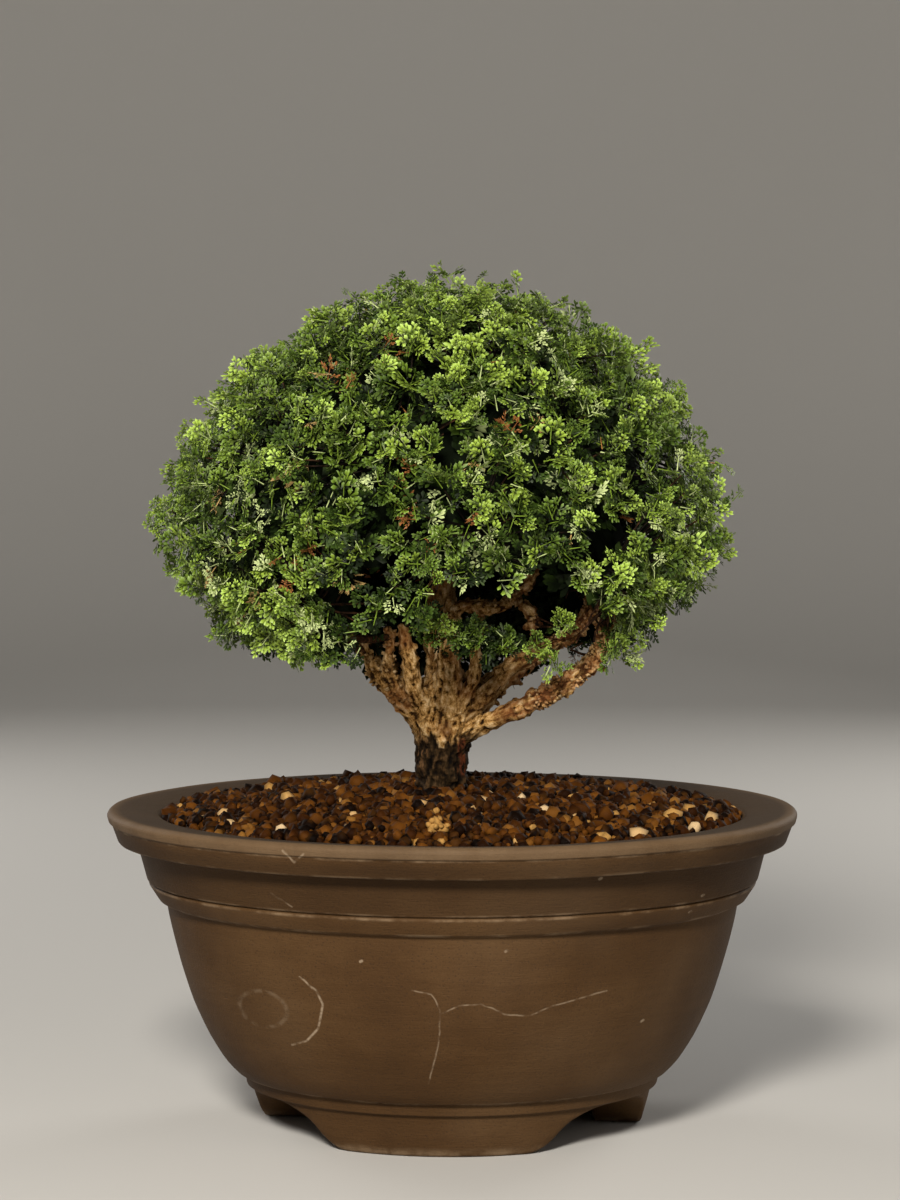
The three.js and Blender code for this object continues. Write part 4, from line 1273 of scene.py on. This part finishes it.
# Tints from which a fan is pale and from which it is spent, with the width of its sprigs.
PALE_FROM, PALE_WIDTH, SPENT_FROM, SPENT_WIDTH, SPENT_LENGTH = 0.93, 0.62, 0.96, 0.46, 0.72


def turned_and_raised(turn, rise):
    """Unit vectors from a turn about the trunk and a rise above the level, in degrees."""
    turn, rise = np.radians(turn), np.radians(rise)
    flat = np.cos(rise)
    return np.stack([flat * np.cos(turn), flat * np.sin(turn), np.sin(rise)], axis=-1)


def head_directions():
    """The directions of the heads from the middle of the crown, as unit vectors."""
    pairs = LOWER_HEADS + [
        [turn + k * 360 / count, rise] for count, rise, turn in UPPER_RINGS for k in range(count)
    ]
    return turned_and_raised(*np.array(pairs + [[0, 90]], float).T)


def crown_reach(ways):
    """
    How far the crown reaches: an ellipsoid above the middle; below it the radius shrinks with
    the 1.9th power of the angle.
    """
    flat = np.hypot(ways[..., 0], ways[..., 1])
    above = 1 / np.hypot(flat / CROWN_RADIUS, ways[..., 2] / CROWN_RISE)
    fall = np.degrees(np.arctan2(-ways[..., 2], flat))
    share = np.clip(fall / UNDERCUT_ANGLE, 0, 1.2)
    below = CROWN_RADIUS * (1 - CROWN_UNDERCUT * share**1.9)
    return np.where(ways[..., 2] >= 0, above, below)


def lowest_rise(turn):
    """The lower edge of the leaves, in degrees: higher over the limbs at the front."""
    return np.interp(turn, *np.array(LOWER_EDGE, float).T)


def fullness(ways):
    """How far the outline of the front is drawn in or out, full at the flanks and none between."""
    angle = np.degrees(np.arctan2(ways[:, 2], ways[:, 0]))
    angle = np.where(angle < -90, angle + 360, angle)
    flank = smooth_step(1 - ways[:, 1] ** 2, 0.45, 0.95)
    return 1 + (np.interp(angle, *np.array(FULLNESS).T) - 1) * flank


def sprig_shapes(lobes, count, draw):
    """
    Flat sprigs of scale lobes, in a unit length. A lobe is a thin kite: root, right corner, tip
    and left corner, with the corners a little under the keel from root to tip, so that it is a
    closed sliver with two faces above and two below. Returns points, the two sides' faces and
    how far towards the tip each corner is.
    """
    across = lobes.shape[1]
    turns = np.radians(90 - lobes[1] + draw.uniform(-9, 9, (count, across)))
    turns[:, -1] = math.pi / 2
    long = (lobes[2] * draw.uniform(0.86, 1.12, (count, across)))[..., None]
    wide = (lobes[3] * draw.uniform(0.88, 1.15, (count, across)))[..., None]
    along = np.stack([np.cos(turns), np.sin(turns)], axis=-1)
    side = np.stack([along[..., 1], -along[..., 0]], axis=-1)
    root = np.stack([0 * turns, lobes[0] + 0 * turns], axis=-1)
    broad = root + along * long * lobes[4][:, None]
    flat = np.stack([root, broad + side * wide, root + along * long, broad - side * wide], axis=2)
    lift = draw.normal(0, 0.16, (count, across, 1)) * np.array([0.0, 0.66, 1.0, 0.66])
    keel = wide * np.array([0.0, -0.36, 0.0, -0.36])
    curl = lift * long + keel - 0.10 * (flat**2).sum(axis=-1)
    shapes = np.concatenate([flat, curl[..., None]], axis=-1).reshape(count, -1, 3)
    first = 4 * np.arange(across)[:, None, None]
    top = (np.array([[0, 1, 2], [0, 2, 3]]) + first).reshape(-1, 3)
    low = (np.array([[0, 3, 1], [2, 1, 3]]) + first).reshape(-1, 3)
    return shapes, top, low, np.tile([0.0, 0.74, 1.0, 0.74], across)


def spun(first, second, angle):
    """A pair of coordinates turned by an angle, from the first axis to the second."""
    cosine, sine = np.cos(angle), np.sin(angle)
    return first * cosine - second * sine, first * sine + second * cosine


def lay_fans(fans, layout, lobes, draw, stems=True):
    """
    Fans of lobed sprigs. In a fan's own plane each sprig is turned and shifted to its place on
    the axis, everything bends by a share of its distance squared, and the fan's directions
    then carry it to its place. Returns points, faces and card places.
    """
    roots, grows, faces_up, lengths, tints = fans
    each = (len(roots), layout.shape[1])
    shapes, top, low, corner_tip_shares = sprig_shapes(lobes, 10, draw)
    share = layout[0] + draw.uniform(-0.03, 0.03, each)
    turn = np.radians(layout[1] + draw.normal(0, 8, each))[..., None]
    size = layout[3] * draw.uniform(0.82, 1.18, each)
    kind = draw.integers(0, len(shapes), each)
    sprigs = shapes[kind] * (size * lengths[:, None])[..., None, None]
    narrow = np.where(tints > SPENT_FROM, SPENT_WIDTH, np.where(tints > PALE_FROM, PALE_WIDTH, 1.0))
    roll = draw.normal(0, 0.34, (*each, 1))
    x, z = spun(sprigs[..., 0] * narrow[:, None, None], sprigs[..., 2], roll)
    y, z = spun(sprigs[..., 1], z, draw.normal(0.04, 0.26, (*each, 1)))
    across, along = spun(x, y + (layout[2] * lengths[:, None])[..., None], -turn)
    along = along + (share * lengths[:, None])[..., None]
    droop = draw.uniform(0.004, 0.026, (len(roots), 1, 1))
    cup = draw.uniform(-0.014, 0.020, (len(roots), 1, 1))
    z = z - droop * along**2 - cup * across**2
    side = np.cross(grows, faces_up)
    points = (
        roots[:, None, None]
        + side[:, None, None] * across[..., None]
        + grows[:, None, None] * along[..., None]
        + faces_up[:, None, None] * z[..., None]
    )
    shift = (np.arange(each[0] * each[1]) * points.shape[2])[:, None, None]
    upper, under = ((part[None] + shift).reshape(-1, 3) for part in (top, low))

    tint = np.clip(tints[:, None] + draw.normal(0, 0.06, each), 0.02, 0.89)
    tint = np.where(tints[:, None] < 0.9, tint, tints[:, None])
    tip_shares = (corner_tip_shares * 0.84 + 0.16 * share[..., None]).reshape(-1)
    in_cell = (x - x.min(axis=2, keepdims=True)) / np.ptp(x, axis=2)[..., None]
    cell = np.floor(tint * (CARD_CELLS - 1))[..., None]
    u = ((cell + 0.2 + 0.6 * in_cell) / CARD_CELLS).reshape(-1)
    sides = ((upper, 0.51), (under, 0.01))
    card = [np.stack([u[part], base + 0.48 * tip_shares[part]], axis=-1).reshape(-1, 2) for part, base in sides]
    laid = [(points.reshape(-1, 3), np.vstack([upper, under]), np.vstack(card))]
    if stems:
        laid.append(lay_stems(fans, droop, draw))
    return together(laid)


def together(parts):
    """Points, triangles and card places of several shapes as one set."""
    starts = np.cumsum([0] + [len(part[0]) for part in parts])
    faces = np.vstack([part[1] + start for part, start in zip(parts, starts)])
    return np.vstack([part[0] for part in parts]), faces, np.vstack([part[2] for part in parts])


def lay_stems(fans, droop, draw):
    """The fans' axes: three-sided prisms that narrow to the end, most green and some cream."""
    roots, grows, faces_up, lengths, tints = fans
    side = np.cross(grows, faces_up)
    along = np.array([-0.05, 0.66])[None] * lengths[:, None]
    fall = -droop[:, 0] * np.maximum(along, 0) ** 2
    middle = roots[:, None] + grows[:, None] * along[..., None] + faces_up[:, None] * fall[..., None]
    turns = np.radians([90, 210, 330])[None, :, None]
    ring = side[:, None] * np.cos(turns) + faces_up[:, None] * np.sin(turns)
    points = middle[:, :, None] + ring[:, None] * np.array([0.30, 0.16])[None, :, None, None]
    quads = grid_quads(2, 3)
    halves = np.vstack([quads[:, [0, 1, 2]], quads[:, [0, 2, 3]]])
    faces = np.vstack([halves, [[0, 2, 1], [3, 4, 5]]])[:, ::-1]
    shift = (np.arange(len(roots)) * 6)[:, None, None]
    lot = draw.uniform(size=len(roots))
    tint = np.where(lot < 0.74, 0.52, np.where(lot < 0.99, 0.94, 0.985))
    tint = np.where(tints > 0.9, tints, tint)
    light = np.array([0.80, 0.80, 0.84]) + np.zeros((len(roots), len(faces), 3))
    card = carded(tint, [-0.2, 0.2, 0.0], light)
    return points.reshape(-1, 3), (faces[None] + shift).reshape(-1, 3), card


def even_ways(count, lowest, jitter, draw):
    """Directions spread evenly by the golden turn, from straight up down to the lowest rise."""
    k = np.arange(count) + 0.5
    rise = 1 - k / count * (1 - math.sin(math.radians(lowest)))
    turn = k * math.pi * GOLDEN_SHARE
    flat = np.sqrt(1 - rise**2)
    ways = np.stack([flat * np.cos(turn), flat * np.sin(turn), rise], axis=1)
    return unit(ways + draw.normal(0, jitter, ways.shape))


def tuft_fans(tips, ways, radii, fans, base_tints, draw, spent=SPENT_SHARE, pale=PALE_SHARE_OF_FANS):
    """
    Fans of each tuft: they leave its axis one after the other by the golden turn, from the tip
    inwards, and lean out more and more. Their upper faces look outwards. Returns roots, growth
    and face directions, lengths and tints.
    """
    each = (len(tips), fans)
    order = (np.arange(fans) + draw.uniform(0, 0.6, each)) / fans
    first, second = square_to(ways, 0.8)
    turn = np.arange(fans) * math.pi * GOLDEN_SHARE + draw.uniform(0, 6.3, (len(tips), 1))
    turn = (turn + draw.normal(0, 0.25, each))[..., None]
    away = first[:, None] * np.cos(turn) + second[:, None] * np.sin(turn)
    lean = FAN_LEAN + FAN_LEAN_MORE * order**0.8 + draw.normal(0, 15, each)
    lean = np.radians(lean)[..., None]
    grows = ways[:, None] * np.cos(lean) + away * np.sin(lean)
    rise = np.where(ways[:, 2] < -0.15, -0.10, 0.16)[:, None, None]
    grows = unit(grows + np.array([0, 0, 1.0]) * rise)
    faces_up = ways[:, None] + np.array([0, 0, 0.30])
    faces_up = unit(faces_up - grows * (faces_up * grows).sum(axis=2, keepdims=True))
    roll = draw.normal(0, 0.45, each)[..., None]
    faces_up = faces_up * np.cos(roll) + np.cross(grows, faces_up) * np.sin(roll)
    lengths = radii[:, None] * draw.uniform(0.88, 1.22, each)
    depth = radii[:, None] * (FAN_DEPTH + FAN_DEPTH_MORE * order)
    roots = tips[:, None] - ways[:, None] * depth[..., None]
    roots = roots + away * (radii[:, None] * 0.20 * order)[..., None]
    roots = roots + draw.normal(0, 1.0, roots.shape) * (FAN_STRAY * radii)[:, None, None]
    tints = base_tints[:, None] - FAN_SHADE * order**0.8 + draw.normal(0, 0.15, each)
    tints = np.clip(tints, 0.016, 0.89)
    lot = draw.uniform(size=each)
    tints = np.where(lot < spent + pale, TINT_PALE, tints)
    tints = np.where(lot < spent + 0.1 * pale, TINT_STRAW, tints)
    tints = np.where((lot < spent) & (order > 0.5), TINT_RUST, tints)
    flat = [array.reshape(-1, 3) for array in (roots, grows, faces_up)]
    return (*flat, lengths.ravel(), tints.ravel())


def kept_ways(count, lowest, jitter, margin, draw):
    """Evenly spread directions without those under the lower edge of the leaves."""
    ways = even_ways(count, lowest, jitter, draw)
    turn = np.degrees(np.arctan2(ways[:, 1], ways[:, 0]))
    rise = np.degrees(np.arcsin(np.clip(ways[:, 2], -1, 1)))
    return ways[rise > lowest_rise(turn) + margin]


def patch_share(points, patches):
    """How far points of the front lie in round patches (x, z, radius), from 0 to 1."""
    patches = np.array(patches)
    away = np.hypot(points[:, None, 0] - patches[:, 0], points[:, None, 2] - patches[:, 1])
    inside = 1 - smooth_step(away / patches[:, 2], 0.6, 1.3)
    return inside.max(axis=1) * (points[:, 1] < -20)


def crown_tufts(draw):
    """
    Tufts over the crown, outer ones on its surface and inner ones in its shade, and the small
    ones before and behind the limbs. Returns tips, directions, radii, fans and tints of each kind.
    """
    ways = kept_ways(OUTER_TUFTS, -34, 0.032, 0.0, draw)
    radii = np.clip(draw.normal(TUFT_RADIUS, 1.2, len(ways)), LEAST_TUFT, GREATEST_TUFT)
    sunk = draw.uniform(size=len(ways)) < SUNK_SHARE
    bulge = waves(ways, 0.42, 71) * 0.020 + draw.normal(0, 0.020, len(ways)) - SUNK_DEPTH * sunk
    reach = crown_reach(ways) * fullness(ways) * (1 + bulge)
    tips = CROWN_CENTRE + ways * (reach - 0.60 * radii)[:, None]
    lean = unit(ways + np.array([0, 0, 0.10]) + draw.normal(0, 0.20, ways.shape))
    # Tints rise a little towards the top of the crown: painted light.
    tint = MEAN_TINT + PATCH_TINT * waves(ways, 0.5, 72) + 0.01 * ways[:, 2]
    # Sunk tufts lose tint: painted shade.
    tint = tint + draw.normal(0, STRAY_TINT, len(ways)) - SUNK_SHADE_TINT * sunk
    tint = tint + FRESH_TINT * patch_share(tips, FRESH_PLACES)
    tint = tint - SHADY_TINT * patch_share(tips, SHADY_PLACES)
    outer = (tips, lean, radii, FANS_OUTER, tint)

    # Inner tufts, in the crown's shade, with a near-black tint: painted shade.
    ways = kept_ways(INNER_TUFTS, -38, 0.06, 9.0, draw)
    reach = crown_reach(ways) * fullness(ways) * draw.uniform(0.76, 0.85, len(ways))
    lean = unit(ways + draw.normal(0, 0.3, ways.shape))
    radii = draw.uniform(13, 16, len(ways))
    inner = (CROWN_CENTRE + ways * reach[:, None], lean, radii, FANS_INNER, np.full(len(ways), INNER_SHADE_TINT))

    front = np.array(FRONT_TUFTS)
    lean = unit(np.array([0.1, -0.8, 0.25]) + draw.normal(0, 0.25, (len(front), 3)))
    small = (front[:, :3], lean, front[:, 3], FANS_SMALL, front[:, 4])

    # Tufts behind the limbs, with a near-black tint: painted shade.
    back = np.array(BACK_TUFTS)
    lean = unit(np.array([0.0, -0.5, -0.5]) + draw.normal(0, 0.3, (len(back), 3)))
    behind = (back[:, :3], lean, back[:, 3], FANS_INNER, np.full(len(back), BACK_SHADE_TINT))
    return outer, inner, small, behind


def in_outline(x, y, outline):
    """Which points lie inside a closed outline: those with an odd number of its sides to the right."""
    corners = np.array(outline, float)
    following = np.roll(corners, -1, axis=0)
    level = y[..., None]
    crosses = (corners[:, 1] > level) != (following[:, 1] > level)
    rise = np.where(following[:, 1] == corners[:, 1], 1.0, following[:, 1] - corners[:, 1])
    at = corners[:, 0] + (level - corners[:, 1]) / rise * (following[:, 0] - corners[:, 0])
    return (crosses & (x[..., None] < at)).sum(axis=-1) % 2 == 1


def covers_window(fans):
    """Which fans have their middle or end before the window over the limbs."""
    roots, grows, _, lengths, _ = fans
    spots = np.array([[0.40], [0.85]]) * lengths[:, None, None]
    spots = roots[:, None] + grows[:, None] * spots
    nearer = EYE_AWAY / (EYE_AWAY + spots[..., 1])
    x, z = spots[..., 0] * nearer, EYE_HEIGHT - (EYE_HEIGHT - spots[..., 2]) * nearer
    return (in_outline(x, z, LIMB_WINDOW) & (spots[..., 1] < 6)).any(axis=1)


def open_and_fade(fans):
    """
    Takes fans out of the window and the shade openings, turns the two nearest to each rust
    place brown, and shortens spent ones. None are brown or very dark at the outline.
    """
    fans = [array[~covers_window(fans)] for array in fans]
    middle = fans[0] + fans[1] * (0.6 * fans[3])[:, None]
    clear = patch_share(middle, SHADE_OPENINGS) < 0.5
    fans = [array[clear] for array in fans]
    middle, tints = middle[clear], fans[4]
    for x, z in RUST_PLACES:
        away = np.hypot(middle[:, 0] - x, middle[:, 2] - z) + 0.35 * (middle[:, 1] + 130)
        tints[np.argsort(away)[:2]] = TINT_RUST
    edge = np.hypot(middle[:, 0] - CROWN_CENTRE[0], middle[:, 2] - CROWN_CENTRE[2]) > EDGE_REACH
    tints[edge & (tints > SPENT_FROM)] = 0.6
    tints[edge] = np.maximum(tints[edge], EDGE_TINT)
    fans[3] = np.where(tints > 0.98, SPENT_LENGTH, 1.0) * fans[3]
    return fans


def head_core(way):
    """
    Painted shade in the middle of a head: a near-black flattened ball, wide across its
    direction and thin along it, made uneven by soft noise, and cut off level over the limbs.
    """
    rows, columns = CORE_GRID
    polar = np.linspace(0, math.pi, rows + 2)[1:-1, None]
    turns = circle(columns)[None]
    ball = [np.sin(polar) * np.cos(turns), np.sin(polar) * np.sin(turns), np.cos(polar) + 0 * turns]
    poles = [[0, 0, 1.0], [0, 0, -1.0]]
    ball, quads, caps = closed_rows_of(np.stack(ball, axis=-1), poles, outwards=False)
    first, second = square_to(way, 0.9)
    spread = CORE_SPREAD_LOW if way[2] < 0.2 else CORE_SPREAD
    offset = ball @ np.stack([first * spread, second * spread, way * CORE_THICKNESS])
    centre = CROWN_CENTRE + way * (CORE_PLACE * crown_reach(way))
    points = centre + offset * (1 + 0.12 * waves(centre + offset, 16.0, 81))[:, None]
    lowest = 258.0 + 10.0 * waves(points, 14.0, 84)
    x, y, z = points.T
    over_limbs = (x > -46) & (x < 72) & (y < 8) & (z < lowest)
    points[:, 2] = np.where(over_limbs, lowest, z)
    halves = np.vstack([quads[:, [3, 1, 2]], quads[:, [3, 0, 1]]])
    faces = np.vstack([halves, caps])
    # The core takes the near-black tint of the card: painted shade.
    u = (CORE_CELL + np.array([-0.2, 0.2, 0.0])) / CARD_CELLS + np.zeros((len(faces), 3))
    v = np.array([0.52, 0.52, 0.54]) + np.zeros((len(faces), 3))
    return points, faces, np.stack([u, v], axis=-1).reshape(-1, 2)


def merged(kinds):
    """Several sets of fans as one."""
    return [np.concatenate(arrays) for arrays in zip(*kinds)]


def make_leaves():
    """Every fan goes to the head whose direction is nearest, and each head is one piece."""
    draw = np.random.default_rng(91)
    heads = head_directions()
    outer, inner, small, behind = crown_tufts(draw)
    fine = merged([open_and_fade(tuft_fans(*outer, draw)), tuft_fans(*small, draw, 0.0, 0.0)])
    plain = [open_and_fade(tuft_fans(*inner, draw)), open_and_fade(tuft_fans(*behind, draw, 0.0, 0.0))]
    kinds = [(fine, FINE_FAN, FINE_LOBES, True), (merged(plain), PLAIN_FAN, PLAIN_LOBES, False)]
    nearest = []
    for (roots, grows, _, lengths, _), *_ in kinds:
        middle = roots + grows * (0.5 * lengths)[:, None]
        nearest.append((unit(middle - CROWN_CENTRE) @ heads.T).argmax(axis=1))
    finish = leaf_green()
    pieces = []
    for number, way in enumerate(heads):
        parts = [head_core(way)]
        for (fans, layout, lobes, stems), owner in zip(kinds, nearest):
            mine = [array[owner == number] for array in fans]
            parts.append(lay_fans(mine, layout, lobes, draw, stems))
        points, faces, card = together(parts)
        name = f"hinoki_sprays_{number + 1:02d}"
        piece = make_piece(name, points, [faces], finish, card, sharp_angle=50)
        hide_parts(f"leaf_head_{number + 1:02d}")
        pieces.append(piece)
    return pieces


def make_twigs(paths):
    """Branches from the limbs' ends into the heads, and a twig to each tuft, as narrow tubes."""
    draw = np.random.default_rng(91)
    heads = head_directions()
    centres = CROWN_CENTRE + heads * (HEAD_DEPTH * crown_reach(heads))[:, None]
    ends = np.array([path[-1] for path, _ in paths[1:]])
    parts, hubs = [], []
    for centre in centres:
        path, widths = paths[1 + np.linalg.norm(ends - centre, axis=1).argmin()]
        start = path[int(0.9 * (len(path) - 1))]
        sag = np.array([0, 0, BRANCH_SAG * np.linalg.norm(start - centre)])
        route = smooth_route([start, (start + centre) / 2 - sag, centre], BRANCH_RINGS)
        wiggle = waves(route, 18.0, 82)[:, None] * np.array([1.2, -1.2, 0.8])
        wiggle[0] = 0
        radii = np.linspace(min(BRANCH_RADII[0], widths[-1]), BRANCH_RADII[1], BRANCH_RINGS)
        parts.append(tube(route + wiggle, radii, 7, 0.12, 83))
        hubs.append(route)
    hubs = np.vstack(hubs + [path[len(path) // 2 :] for path, _ in paths[1:]])
    for kind, (tips, ways, radii, _, _) in enumerate(crown_tufts(draw)):
        across = np.array([3.0, 1.0, 3.0]) if kind == 2 else np.ones(3)
        for tip, way, radius in zip(tips, ways, radii):
            end = tip - way * radius * 1.05
            start = hubs[np.linalg.norm((hubs - end) * across, axis=1).argmin()]
            bend = (start + end) / 2 - way * radius * 0.5 + draw.normal(0, 1.5, 3)
            route = smooth_route([start, bend, end], 4)
            parts.append(tube(route, np.linspace(*TWIG_RADII, 4), 3))
    points, quads, caps = joined(parts)
    return make_piece("branches_and_twigs", points, [quads, caps], twig_bark())


# ---------------------------------------------------------------- assembly

set_camera()
set_lights()

make_sweep()

bowl = make_pot()
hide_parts("pot")

bed = make_soil_bed()
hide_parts("soil")
gravel = make_gravel()

screen = frame["nodes"]["drainage_mesh"]
screen.data.materials.clear()
screen.data.materials.append(mesh_plastic())

limb_lines = limb_paths()
trunk = make_trunk(limb_lines)
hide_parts("trunk_and_limbs")
twigs = make_twigs(limb_lines)

sprays = make_leaves()

for piece in (bowl, bed, gravel, trunk, twigs, *sprays):
    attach(piece, "root")
